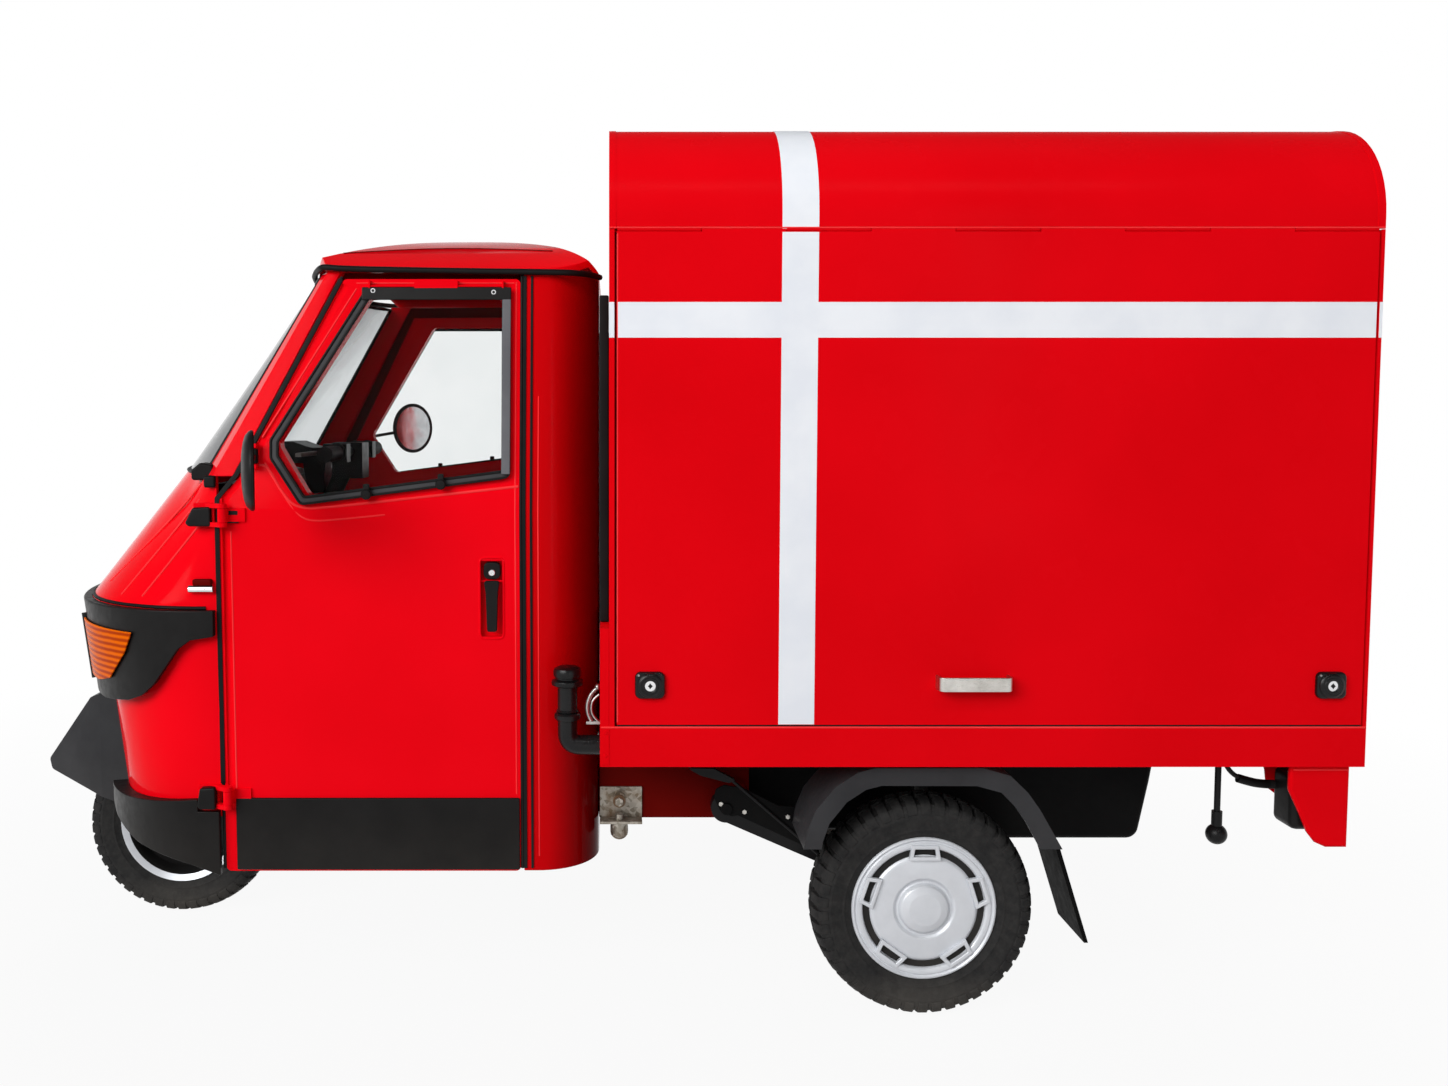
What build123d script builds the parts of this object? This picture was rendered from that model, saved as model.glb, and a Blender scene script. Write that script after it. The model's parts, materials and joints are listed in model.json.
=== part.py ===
"""Three-wheel food van with a top-hinged side hatch: cab, steering, doors, food box and running gear.

Millimetres. The front points to -X, the left side to -Y, and the tyres stand on Z = 0.
"""
import math
import os

from build123d import *

# Overall frame
front_axle_x = -1039.0
box_front_x = -39.0
guard_tip_x = -1343.0
reach = 1500.0
run_fit = 0.05
seat_gap = 0.3

# Wheels and axles
wheelbase = 1606.0
rear_track = 1020.0
tyre_radius = 215.0
tyre_width = 100.0
tyre_wall = 9.0
tread_depth = 12.0
shoulder_drop = 9.0
shoulder_half_width = 43.0
bead_radius = 130.0
bead_half_width = 38.0
rim_flange_radius = 139.0
rim_flange_width = 5.0
rim_wall = 6.0
rim_disc_thickness = 6.0
hub_radius = 36.0
stub_axle_radius = 12.0
drum_radius = 88.0
hubcap_radius = 140.0
hubcap_depth = 10.0
hubcap_dome_radius = 47.0
rear_axle_x = front_axle_x + wheelbase
axle_z = tyre_radius

# Food box
box_length = 1397.0
box_width = 1260.0
box_half = box_width / 2
panel = 24.0
skirt_z = 514.0
skirt_height = 75.0
skirt_lead = 17.0
skirt_rail = 30.0
headboard_z = 772.0
counter_front_y = 240.0
deck_floor_thickness = 30.0
floor_plate = 3.0
floor_plate_margin = 15.0
hatch_seam_z = 1497.0
roof_straight = 25.0
shoulder_radius = 185.0
box_rear_x = box_front_x + box_length
deck_front_x = box_front_x - skirt_lead
deck_top_z = skirt_z + skirt_height
shoulder_z = hatch_seam_z + roof_straight
box_roof_z = shoulder_z + shoulder_radius

# Side hatch
hatch_gap = 4.0
hatch_seal = 2.0
front_strip = 10.0
rear_strip = 6.0
frame_depth = 32.0
frame_jamb = 55.0
frame_sill = 41.0
hinge_radius = 3.5
hinge_pin_radius = 1.75
hinge_count = 9
lock_inset = 61.0
lock_height = 75.0
lock_plate_width = 55.0
lock_plate_height = 50.0
lock_plate_proud = 10.0
lock_plug_radius = 13.0
lock_cam_length = 58.0
lock_cam_width = 20.0
lock_cam_thickness = 4.0
handle_length = 135.0
handle_height = 81.0
handle_depth = 26.0
handle_strip = 5.0
handle_stand = 32.0
hatch_front_x = box_front_x + front_strip + hatch_gap
hatch_rear_x = box_rear_x - rear_strip - hatch_gap
hatch_bottom_z = deck_top_z + hatch_gap
hatch_top_z = hatch_seam_z - hatch_gap
hatch_inner_y = -box_half + panel - hatch_seal
frame_y = -box_half + panel
frame_inner_y = frame_y + frame_depth
hinge_y = -box_half + hinge_radius

# Cab body
cab_rear_x = -60.0
cab_bottom_z = 270.0
waist_z = 980.0
rail_z = 1443.0
cab_roof_z = 1550.0
sill_half_width = 500.0
waist_half_width = 508.0
rail_half_width = 440.0
cab_corner_radius = 120.0
cab_wall = 20.0
roof_wall = 14.0
roof_front_x = -676.0
roof_side_front_x = -588.0
nose_wall = 12.0
nose_rear_x = -796.0
well_half_width = 300.0
well_top_z = 600.0
cowl_z = 1045.0
nose_floor_z = 380.0
floor_top_z = cab_bottom_z + 25.0
pedal_pivot = (-690.0, 150.0, floor_top_z + 22.0)
pedal_half = 12.0
handbrake_pivot = (-470.0, 350.0, floor_top_z + 26.0)
handbrake_half = 8.0

# Doors
door_gap = 6.0
door_thickness = 30.0
door_front_x = nose_rear_x + door_gap
door_rear_x = -212.0
door_top_z = 1428.0
door_hinge_x = -778.0
door_hinge_y = -524.0
door_hinge_heights = (423.0, 972.0)
door_knuckle_radius = 9.0
door_knuckle_height = 26.0
door_pin_radius = 5.0
hinge_plate = 42.0
handle_plate_x = -266.0
handle_plate_z = 809.0
handle_plate_width = 42.0
handle_plate_height = 148.0
handle_recess = 14.0
lever_width = 24.0
lever_length = 100.0
lever_thickness = 9.0
lever_gap = 3.0
flap_thickness = 8.0
flap_gap = 1.0
flap_overlap = 15.0
flap_hinge_radius = 5.0
mirror_radius = 72.0
mirror_thickness = 20.0
mirror_arm_radius = 6.0
mirror_reach = 208.0
mirror_base_x = -722.0
mirror_base_z = 1085.0
mirror_head_x = -673.0
mirror_head_z = 1066.0
mirror_edge = 5.0
mirror_turn = 16.0
right_mirror_turn = 42.0
right_mirror_x = -615.0
right_mirror_z = 1125.0

# Steering
rake = 25.0
head_tube_radius = 32.0
stem_radius = 20.0
bar_radius = 11.0
bar_half_length = 285.0
bar_z = 1080.0
clamp_drop = 26.0
grip_radius = 17.0
grip_length = 115.0
hood_half_width = 62.0
fork_side_y = 92.0
fork_leg_radius = 18.0
link_length = 95.0
link_rise = 35.0
link_thickness = 16.0
guard_half_width = 92.0
guard_wall = 4.0

# Running gear under the deck
beam_y = 378.0
beam_width = 55.0
beam_z = 455.0
low_beam_z = 345.0
rail_depth = 20.0
rail_rear_x = -190.0
arm_pivot_x = cab_rear_x + 255.0
arm_pivot_z = 378.0
arm_y = 432.0
arm_thickness = 26.0
arm_depth = 54.0
fender_top_z = 505.0
fender_outer_y = 606.0
fender_inner_y = 452.0
fender_lip = 36.0
fender_wall = 6.0
fender_stay = 20.0
fender_stay_y = 500.0
flap_sheet = 6.0

# Pipe, lever and tail fittings
snorkel_x = -118.0
snorkel_y = -562.0
snorkel_radius = 20.0
snorkel_top_z = 673.0
snorkel_exit_z = 549.0
lever_rod_x = box_rear_x - 207.0
lever_rod_y = -500.0
lever_rod_radius = 6.0
ball_radius = 20.0
ball_z = 344.0
lead_radius = 4.5
lead_drop_z = 454.0
plate_hole_radius = 3.5
plate_hole_spacing = 120.0


def block(x0, x1, y0, y1, z0, z1):
    """Box between two corners."""
    middle = Pos((x0 + x1) / 2, (y0 + y1) / 2, (z0 + z1) / 2)
    return middle * Box(abs(x1 - x0), abs(y1 - y0), abs(z1 - z0))


def flat(points, corner=0.0):
    """Closed outline of straight runs, with its corners rounded where a radius is given."""
    face = make_face(Polyline(*points, close=True))
    if corner:
        face = fillet(face.vertices(), radius=corner)
    return face


def side_prism(points, y0, y1, corner=0.0):
    """Outline given in X and Z, carried along Y."""
    return extrude(Plane.XZ.offset(-y0) * flat(points, corner), amount=y1 - y0, dir=(0, 1, 0))


def plan_prism(points, z0, z1, corner=0.0):
    """Outline given in X and Y, carried up Z."""
    return extrude(Plane.XY.offset(z0) * flat(points, corner), amount=z1 - z0, dir=(0, 0, 1))


def end_prism(points, x0, x1, corner=0.0):
    """Outline given in Y and Z, carried along X."""
    return extrude(Plane.YZ.offset(x0) * flat(points, corner), amount=x1 - x0, dir=(1, 0, 0))


def rod(start, end, radius):
    """Round bar between two points."""
    axis = Vector(*end) - Vector(*start)
    bottom = (Align.CENTER, Align.CENTER, Align.MIN)
    return Plane(origin=start, z_dir=axis) * Cylinder(radius, axis.length, align=bottom)


def bends(points):
    """Largest easy bend radius at each corner of a run of points."""
    corners = [Vector(*point) for point in points]
    radii = []
    for before, here, after in zip(corners, corners[1:], corners[2:]):
        turn = math.radians((here - before).get_angle(after - here))
        shorter = min((here - before).length, (after - here).length)
        radii.append(0.45 * shorter / math.tan(turn / 2))
    return radii


def tube(points, radius, bend):
    """Round bar or hose along straight runs joined by tangent arcs."""
    path = FilletPolyline(*points, radius=bend)
    section = Plane(origin=path @ 0, z_dir=path % 0) * Circle(radius)
    return sweep(section, path=path)


def right(shape):
    """The same piece on the other side of the vehicle."""
    return mirror(shape, about=Plane.XZ)


def save(node, *pieces):
    """Write one node, with all its solids."""
    solids = [solid for piece in pieces for solid in piece.solids()]
    export_step(Compound(solids), os.path.join("parts", node + ".step"))


def side_width(z):
    """Outer half width of the cab at a height: upright to the waist, then leaning in to the rail."""
    if z <= waist_z:
        share = (z - cab_bottom_z) / (waist_z - cab_bottom_z)
        return sill_half_width + share * (waist_half_width - sill_half_width)
    share = (z - waist_z) / (rail_z - waist_z)
    return waist_half_width + share * (rail_half_width - waist_half_width)


def side_band(outside, inside, z0, z1):
    """End-view outline of a sheet on the left side, between two depths under the cab skin."""
    heights = [z0] + [z for z in (waist_z,) if z0 < z < z1] + [z1]
    outer = [(-side_width(z) + outside, z) for z in heights]
    inner = [(-side_width(z) + inside, z) for z in reversed(heights)]
    return outer + inner


# Running gear

def ring(inner, outer, y0, y1):
    """Plain turned ring about the Y axis."""
    return revolve(flat([(inner, y0), (outer, y0), (outer, y1), (inner, y1)]), axis=Axis.Y)


def tyre_ring():
    """Hollow tyre about the Y axis, open at the beads."""
    shoulder = tyre_radius - shoulder_drop
    half = tyre_width / 2
    middle = (rim_flange_radius + shoulder) / 2
    inner_half = bead_half_width - tyre_wall
    outline = Curve() + [
        Line((bead_radius, -bead_half_width), (rim_flange_radius, -bead_half_width)),
        ThreePointArc((rim_flange_radius, -bead_half_width), (middle, -half), (shoulder, -shoulder_half_width)),
        ThreePointArc((shoulder, -shoulder_half_width), (tyre_radius, 0), (shoulder, shoulder_half_width)),
        ThreePointArc((shoulder, shoulder_half_width), (middle, half), (rim_flange_radius, bead_half_width)),
        Line((rim_flange_radius, bead_half_width), (bead_radius, bead_half_width)),
        Line((bead_radius, bead_half_width), (bead_radius, inner_half)),
        ThreePointArc((bead_radius, inner_half), (tyre_radius - tread_depth, 0), (bead_radius, -inner_half)),
        Line((bead_radius, -inner_half), (bead_radius, -bead_half_width)),
    ]
    return revolve(make_face(outline), axis=Axis.Y)


def rim_ring(disc_y):
    """Steel rim about the Y axis: barrel, two flanges, disc and hub, with the axle bore."""
    flange_y = bead_half_width + rim_flange_width
    barrel_inner = bead_radius - rim_wall
    rim = ring(barrel_inner, bead_radius, -flange_y, flange_y)
    rim += ring(barrel_inner, rim_flange_radius, -flange_y, -bead_half_width)
    rim += ring(barrel_inner, rim_flange_radius, bead_half_width, flange_y)
    rim += ring(hub_radius - rim_wall, barrel_inner, disc_y, disc_y + rim_disc_thickness)
    rim += ring(stub_axle_radius + run_fit, hub_radius, disc_y - rim_disc_thickness, flange_y)
    return rim


def hubcap_disc():
    """Dished cover over the outer face of a left rear wheel, facing -Y."""
    face_y = -bead_half_width - rim_flange_width
    outer = face_y - hubcap_depth
    lip = 4.0
    dish = 10.0
    profile = [
        (0, outer - lip), (hubcap_dome_radius - dish, outer - lip), (hubcap_dome_radius, outer),
        (hubcap_radius - dish - lip, outer), (hubcap_radius, face_y + lip - hubcap_depth / 2),
        (hubcap_radius, face_y), (hubcap_radius - dish, face_y),
        (hubcap_radius - dish, face_y - lip), (0, face_y - lip),
    ]
    return revolve(flat(profile), axis=Axis.Y)


def rear_wheels():
    """Left and right rear tyres, and rims with their covers."""
    disc_y = -20.0
    left = Pos(rear_axle_x, -rear_track / 2, axle_z)
    tyre = left * tyre_ring()
    rim = left * rim_ring(disc_y)
    cover = left * hubcap_disc()
    save("rear_tyre_left", tyre)
    save("rear_rim_left", rim, cover)
    save("rear_tyre_right", right(tyre))
    save("rear_rim_right", right(rim), right(cover))


def rear_arms():
    """Trailing arms with their stub axles and rubber spring blocks."""
    nut = 8.0
    boss_radius = 30.0
    inner_y = -arm_y + arm_thickness / 2
    outer_y = -arm_y - arm_thickness / 2
    half = arm_depth / 2
    slope = math.atan2(axle_z - arm_pivot_z, rear_axle_x - arm_pivot_x)
    across = (-math.sin(slope) * half, math.cos(slope) * half)
    web = side_prism([
        (arm_pivot_x + across[0], arm_pivot_z + across[1]),
        (rear_axle_x + across[0], axle_z + across[1]),
        (rear_axle_x - across[0], axle_z - across[1]),
        (arm_pivot_x - across[0], arm_pivot_z - across[1]),
    ], outer_y, inner_y)
    arm = web + rod((arm_pivot_x, outer_y, arm_pivot_z), (arm_pivot_x, inner_y, arm_pivot_z), boss_radius)
    arm += rod((rear_axle_x, outer_y, axle_z), (rear_axle_x, inner_y, axle_z), boss_radius)
    stub_end = -rear_track / 2 - bead_half_width + nut
    arm += rod((rear_axle_x, inner_y, axle_z), (rear_axle_x, stub_end, axle_z), stub_axle_radius)
    bore = rod((arm_pivot_x, outer_y - nut, arm_pivot_z), (arm_pivot_x, inner_y + nut, arm_pivot_z),
               stub_axle_radius + run_fit)
    arm -= bore
    save("rear_arm_left", arm)
    save("rear_arm_right", right(arm))


def fender_and_flap():
    """Wheel-arch cover with a deep outer lip, and the rubber flap behind it."""
    foot_z = 350.0
    rear_x = rear_axle_x + 245.0
    profile = [
        (-241.0, foot_z), (-234.0, 386.0), (-219.0, 424.0), (-182.0, 469.0), (-141.0, 496.0),
        (-109.0, fender_top_z), (93.0, fender_top_z), (145.0, 490.0), (178.0, 458.0), (201.0, 426.0),
        (245.0, foot_z),
    ]
    arch = [(rear_axle_x + along, z) for along, z in profile]

    def inset(depth):
        inner = []
        for x, z in arch:
            share = 1 - depth / math.hypot(x - rear_axle_x, z - axle_z)
            inner.append((rear_axle_x + (x - rear_axle_x) * share, axle_z + (z - axle_z) * share))
        return inner + [(inner[-1][0], foot_z - 90.0), (inner[0][0], foot_z - 90.0)]

    lip_width = 8.0
    cover = side_prism(arch, -fender_outer_y, -fender_inner_y)
    cover -= side_prism(inset(fender_wall), -fender_outer_y + lip_width, -fender_inner_y + 1)
    cover -= side_prism(inset(fender_lip), -fender_outer_y - 1, -fender_inner_y)
    deck_under = deck_top_z - deck_floor_thickness - seat_gap
    for stay_x in (rear_axle_x - 80.0, rear_axle_x + 83.0):
        cover += block(stay_x - fender_stay / 2, stay_x + fender_stay / 2, -fender_stay_y - fender_stay,
                       -fender_stay_y + fender_stay, fender_top_z - fender_wall, deck_under)
    tip_x = rear_axle_x + 299.0
    tip_z = 168.0
    flap_width = 10.0
    top = (rear_x - flap_width, foot_z - seat_gap)
    flap = side_prism([
        top, (top[0] + flap_sheet, top[1]), (tip_x, tip_z), (tip_x - flap_sheet, tip_z),
    ], -fender_outer_y + lip_width, -fender_inner_y - lip_width)
    return cover, flap


def fenders():
    cover, flap = fender_and_flap()
    save("rear_fenders", cover, right(cover), flap, right(flap))


def chassis():
    """Beams behind the cab with cross bars and arm pivots, rails under its floor, and the head tube."""
    inner_y = beam_y - beam_width / 2
    outer_y = beam_y + beam_width / 2
    step_x = arm_pivot_x + 50.0
    overlap = 90.0
    bar = 50.0
    rear_x = box_rear_x - 110.0
    front_x = cab_rear_x + seat_gap
    beams = Part()
    rails = []
    for side in (-1, 1):
        y0, y1 = sorted((side * inner_y, side * outer_y))
        beams += block(step_x - overlap, rear_x, y0, y1, beam_z, skirt_z)
        beams += block(front_x, step_x, y0, y1, low_beam_z, beam_z)
        rails.append(block(nose_rear_x, rail_rear_x, y0, y1, cab_bottom_z - rail_depth, cab_bottom_z))
        pivot_out = side * (arm_y + arm_thickness / 2 + 6)
        beams += rod((arm_pivot_x, side * outer_y, arm_pivot_z), (arm_pivot_x, pivot_out, arm_pivot_z),
                     stub_axle_radius)
    for bar_x in (step_x - overlap, rear_x - 121.0):
        beams += block(bar_x, bar_x + bar, -inner_y, inner_y, beam_z, skirt_z)
    beams += block(front_x, front_x + bar, -inner_y, inner_y, low_beam_z, beam_z)
    under = rails[0] + rails[1]
    for bar_x in (nose_rear_x, rail_rear_x - bar):
        under += block(bar_x, bar_x + bar, -inner_y, inner_y, cab_bottom_z - rail_depth, cab_bottom_z)
    save("chassis_frame", beams, under, head_tube())


def steer_point(z):
    """Point of the raked steering axis at a height."""
    return (front_axle_x + (z - axle_z) * math.tan(math.radians(rake)), 0.0, z)


def head_tube():
    """Bearing tube of the steering stem, standing on the wheel box, with its stay to the cowl."""
    low, high = 655.0, 960.0
    barrel = rod(steer_point(low), steer_point(high), head_tube_radius)
    barrel -= rod(steer_point(low - 40), steer_point(high + 40), stem_radius + run_fit)
    return barrel


def cab_floor():
    """Floor tub: flat floor, wheel box around the front wheel, and the seat box."""
    sheet = 12.0
    floor_top = floor_top_z
    inner = well_half_width
    outer = inner + sheet
    rear = cab_rear_x - cab_wall - seat_gap
    back = nose_rear_x + sheet
    ceiling = well_top_z + 40.0
    front = front_axle_x + 10.0
    side = sill_half_width - door_thickness - 4.0
    clip = cab_corner_radius
    floor_plan = [
        (back - sheet, -side), (rear - clip, -side), (rear, clip - side), (rear, side - clip),
        (rear - clip, side), (back - sheet, side),
    ]
    tub = plan_prism(floor_plan, cab_bottom_z, floor_top)
    tub += block(back - sheet, back, -outer, outer, floor_top, ceiling)
    for y0 in (-outer, inner):
        tub += block(front, back, y0, y0 + sheet, floor_top, ceiling)
    tub += block(front, back, -outer, outer, ceiling, ceiling + sheet)
    seat_box = block(-430.0, -135.0, -290.0, 290.0, floor_top, 560.0)
    seat_box -= block(-430.0 + sheet, -134.0, -290.0 + sheet, 290.0 - sheet, floor_top, 560.0 - sheet)
    low = steer_point(ceiling - 40)
    high = steer_point(ceiling + 60)
    tub -= rod(low, high, head_tube_radius + 8)
    collar = rod(steer_point(ceiling + 12), steer_point(ceiling + 42), head_tube_radius + 18)
    collar -= rod(low, high, head_tube_radius + seat_gap)
    collar -= block(front, back, -outer, outer, ceiling - 60, ceiling + sheet)
    save("cab_floor", tub + seat_box + pedal_brackets(), collar)


# Cab shell

nose_widths = (470.0, 390.0, 290.0, 150.0)
nose_rows = (
    (cab_bottom_z - 10.0, 500.0, (-922.0, -1007.0, -1059.0, -1094.0), -1104.0),
    (nose_floor_z, 503.0, (-922.0, -1007.0, -1059.0, -1094.0), -1104.0),
    (592.0, 506.0, (-946.0, -1033.0, -1086.0, -1121.0), -1130.0),
    (785.0, 507.0, (-981.0, -1073.0, -1128.0, -1162.0), -1170.0),
    (cowl_z, 498.0, (-824.0, -865.0, -916.0, -960.0), -975.0),
)


def nose_row(z):
    """Half width, reach at the named widths, and front reach of the nose, read between the rows."""
    for low, high in zip(nose_rows, nose_rows[1:]):
        if z <= high[0]:
            share = (z - low[0]) / (high[0] - low[0])
            width = low[1] + share * (high[1] - low[1])
            reach_at = [a + share * (b - a) for a, b in zip(low[2], high[2])]
            front = low[3] + share * (high[3] - low[3])
            return width, reach_at, front
    return nose_rows[-1][1:]


def nose_section(z, front_inset, side_inset, back):
    """Flat section of the nose at a height, drawn in by its insets, from its back plane to its front."""
    width, reach_at, front = nose_row(z)
    shrink_y = (width - side_inset) / width
    shrink_x = (nose_rear_x - front - front_inset) / (nose_rear_x - front)
    half = [(back, width - side_inset)]
    for y, x in zip(nose_widths, reach_at):
        half.append((nose_rear_x + (x - nose_rear_x) * shrink_x, y * shrink_y))
    points = [(x, -y, z) for x, y in half] + [(front + front_inset, 0, z)]
    points += [(x, y, z) for x, y in reversed(half)]
    return make_face(Curve() + [Spline(*points), Line(points[-1], points[0])])


def nose_solid(z0, z1, low, high=None, back=nose_rear_x):
    """Nose volume between two heights, drawn in by the front and side insets given for its low and high end."""
    high = low if high is None else high
    sections = []
    for z in [z0] + [row[0] for row in nose_rows if z0 + 1 < row[0] < z1 - 1] + [z1]:
        share = (z - z0) / (z1 - z0)
        front_inset, side_inset = [a + share * (b - a) for a, b in zip(low, high)]
        sections.append(nose_section(z, front_inset, side_inset, back))
    return loft(sections, ruled=True)


def nose_layer(z0, z1, inside, low, high=None):
    """Sheet over the nose: from an even inset out to the insets given for its low and high end."""
    core = nose_solid(z0 - 0.5, z1 + 0.5, (inside, inside), back=nose_rear_x + 1)
    return nose_solid(z0, z1, low, high) - core


def nose_shell():
    """Red nose: bonnet slope, sides and the front lip round the wheel opening."""
    shell = nose_layer(nose_floor_z, cowl_z, nose_wall, (0.0, 0.0))
    shell -= block(-reach, nose_rear_x + 1, -well_half_width, well_half_width,
                   nose_floor_z - 1, well_top_z)
    save("nose_shell", shell)


band_foot = (34.0, 22.0)
band_head = (12.0, 16.0)
layer_gap = 0.8
lens_thickness = 5.0
headlamp_half_width = 118.0
headlamp_z = (632.0, 742.0)
lamp_band_outline = [
    (-reach, 593.0), (-1060.0, 593.0), (-985.0, 604.0), (-950.0, 618.0), (-922.0, 642.0),
    (-895.0, 678.0), (-870.0, 713.0), (-845.0, 731.0), (nose_rear_x - 4.0, 738.0),
    (nose_rear_x - 4.0, 788.0), (-1099.0, 788.0), (-reach, 788.0),
]
indicator_outline = [
    (-reach, 752.0), (-966.0, 742.0), (-985.0, 700.0), (-1030.0, 642.0), (-1075.0, 628.0),
    (-reach, 628.0),
]
indicator_inner_y = 215.0


def lamp_pieces():
    """Lamp band round the nose, the headlamp set in its front and the corner indicators on it."""
    low_z, high_z = 585.0, 815.0

    def proud(rise):
        return [tuple(-value - rise for value in end) for end in (band_foot, band_head)]

    def layer_at(inside_rise, rise):
        outer = nose_solid(low_z, high_z, *proud(rise))
        return outer - nose_solid(low_z - 0.5, high_z + 0.5, *proud(inside_rise), back=nose_rear_x + 1)

    band = nose_layer(low_z, high_z, -layer_gap, *proud(0.0))
    band &= side_prism(lamp_band_outline, -box_half, box_half)
    lens_window = block(-reach, front_axle_x, -headlamp_half_width, headlamp_half_width, *headlamp_z)
    band -= block(-reach, front_axle_x, -headlamp_half_width - 1, headlamp_half_width + 1,
                  headlamp_z[0] - 1, headlamp_z[1] + 1)
    lens = nose_layer(low_z, high_z, -layer_gap, *proud(lens_thickness)) & lens_window
    signal = layer_at(layer_gap, layer_gap + lens_thickness)
    signal &= side_prism(indicator_outline, -box_half, -indicator_inner_y)
    save("lamp_band", band)
    save("headlamp", lens)
    save("indicators", signal, right(signal))


front_skirt_outline = [
    (-1100.0, 392.0), (-1010.0, 398.0), (-850.0, 416.0), (nose_rear_x - 2.0, 418.0),
    (nose_rear_x - 2.0, cab_bottom_z - 4.0), (-857.0, 287.0), (-985.0, 312.0), (-1060.0, 340.0),
    (-1100.0, 366.0),
]


def front_skirts():
    """Black lower covers from the door to the wheel opening."""
    front_cover, side_cover = 36.0, 14.0
    layer = nose_layer(cab_bottom_z - 6, 425.0, -layer_gap, (-front_cover, -side_cover))
    cover = layer & side_prism(front_skirt_outline, -box_half, -well_half_width)
    notch = 30.0
    hinge_z = door_hinge_heights[0]
    cover -= block(nose_rear_x - hinge_plate - 2.0, nose_rear_x, -box_half, -well_half_width,
                   hinge_z - notch, hinge_z + notch)
    save("front_skirts", cover, right(cover))


# Greenhouse

glass_base = ((-838.0, 425.0), -975.0)
glass_top = ((-612.0, 385.0), -684.0)
glass_thickness = 6.0
glass_foot_z = cowl_z + seat_gap
glass_head_z = 1438.0
wiper_length = 240.0
wiper_park = 58.0


def glass_row(row, z):
    """Curved strip of the windscreen at one height."""
    (edge_x, edge_y), front = row
    outer = ThreePointArc((edge_x, -edge_y, z), (front, 0, z), (edge_x, edge_y, z))
    inner = ThreePointArc((edge_x + glass_thickness, edge_y, z), (front + glass_thickness, 0, z),
                          (edge_x + glass_thickness, -edge_y, z))
    ends = [Line(outer @ 1, inner @ 0), Line(inner @ 1, outer @ 0)]
    return make_face(Curve() + [outer, inner] + ends)


def windscreen():
    glass = loft([glass_row(glass_base, glass_foot_z), glass_row(glass_top, glass_head_z)], ruled=True)
    save("windscreen", glass)


def screen_frame():
    """Two leaning pillars beside the windscreen and the cowl strip under it."""
    base = [(-839.0, -430.0), (-805.0, -497.0), (-764.0, -499.0), (-778.0, -440.0)]
    top = [(-610.0, -390.0), (-590.0, -434.0), (-564.0, -434.0), (-560.0, -398.0)]
    low = make_face(Polyline(*[(x, y, cowl_z + 0.5) for x, y in base], close=True))
    high = make_face(Polyline(*[(x, y, rail_z) for x, y in top], close=True))
    pillar = loft([low, high], ruled=True)
    save("windscreen_frame", pillar, right(pillar))


def cab_roof():
    """Domed roof: crowned both ways, with a bowed front edge and rounded rear corners."""
    edge_z = rail_z + 6.0
    rear = cab_rear_x
    side = rail_half_width + 4.0
    corner = cab_corner_radius - 10.0
    diagonal = corner * (1 - math.sqrt(0.5))
    brow_x, nape_x = -520.0, -150.0
    ridge_z, brow_z = cab_roof_z - 12.0, cab_roof_z - 39.0

    def dome(drop, grow):
        low = rail_z - 40.0
        front = (roof_front_x, 0, edge_z - drop)
        back = (rear, 0, edge_z - drop)
        brow = (brow_x, 0, brow_z - drop)
        nape = (nape_x, 0, brow_z - drop)
        along = Curve() + [
            ThreePointArc(front, (brow_x - 80.0, 0, brow_z - 28.0 - drop), brow),
            ThreePointArc(brow, ((brow_x + nape_x) / 2, 0, ridge_z - drop), nape),
            ThreePointArc(nape, (nape_x + 50.0, 0, brow_z - 26.0 - drop), back),
            Polyline(back, (rear, 0, low), (roof_front_x, 0, low), front),
        ]
        across = Curve() + [
            ThreePointArc((0, -side, edge_z - drop), (0, 0, cab_roof_z - drop), (0, side, edge_z - drop)),
            Polyline((0, side, edge_z - drop), (0, side, low), (0, -side, low), (0, -side, edge_z - drop)),
        ]
        long_bar = extrude(make_face(along), amount=side + grow, dir=(0, 1, 0), both=True)
        wide_bar = extrude(make_face(across), amount=reach, dir=(1, 0, 0), both=True)
        return long_bar & wide_bar

    plan = Curve() + [
        ThreePointArc((roof_side_front_x, -side), (roof_front_x, 0), (roof_side_front_x, side)),
        Line((roof_side_front_x, side), (rear - corner, side)),
        ThreePointArc((rear - corner, side), (rear - diagonal, side - diagonal), (rear, side - corner)),
        Line((rear, side - corner), (rear, corner - side)),
        ThreePointArc((rear, corner - side), (rear - diagonal, diagonal - side), (rear - corner, -side)),
        Line((rear - corner, -side), (roof_side_front_x, -side)),
    ]
    footprint = extrude(Plane.XY.offset(rail_z + seat_gap) * make_face(plan),
                        amount=cab_roof_z, dir=(0, 0, 1))
    save("roof_panel", (dome(0.0, 0.0) - dome(roof_wall, 1.0)) & footprint)


def rear_wall_section(z, half_width, inset, front):
    """Flat section of the cab's rear end, with rounded corners, drawn in by an inset."""
    rear = cab_rear_x - inset
    side = half_width - inset
    corner = cab_corner_radius - inset
    diagonal = corner * (1 - math.sqrt(0.5))
    outline = Curve() + [
        Line((front, -side, z), (rear - corner, -side, z)),
        ThreePointArc((rear - corner, -side, z), (rear - diagonal, diagonal - side, z),
                      (rear, corner - side, z)),
        Line((rear, corner - side, z), (rear, side - corner, z)),
        ThreePointArc((rear, side - corner, z), (rear - diagonal, side - diagonal, z),
                      (rear - corner, side, z)),
        Line((rear - corner, side, z), (front, side, z)),
        Line((front, side, z), (front, -side, z)),
    ]
    return make_face(outline)


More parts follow.
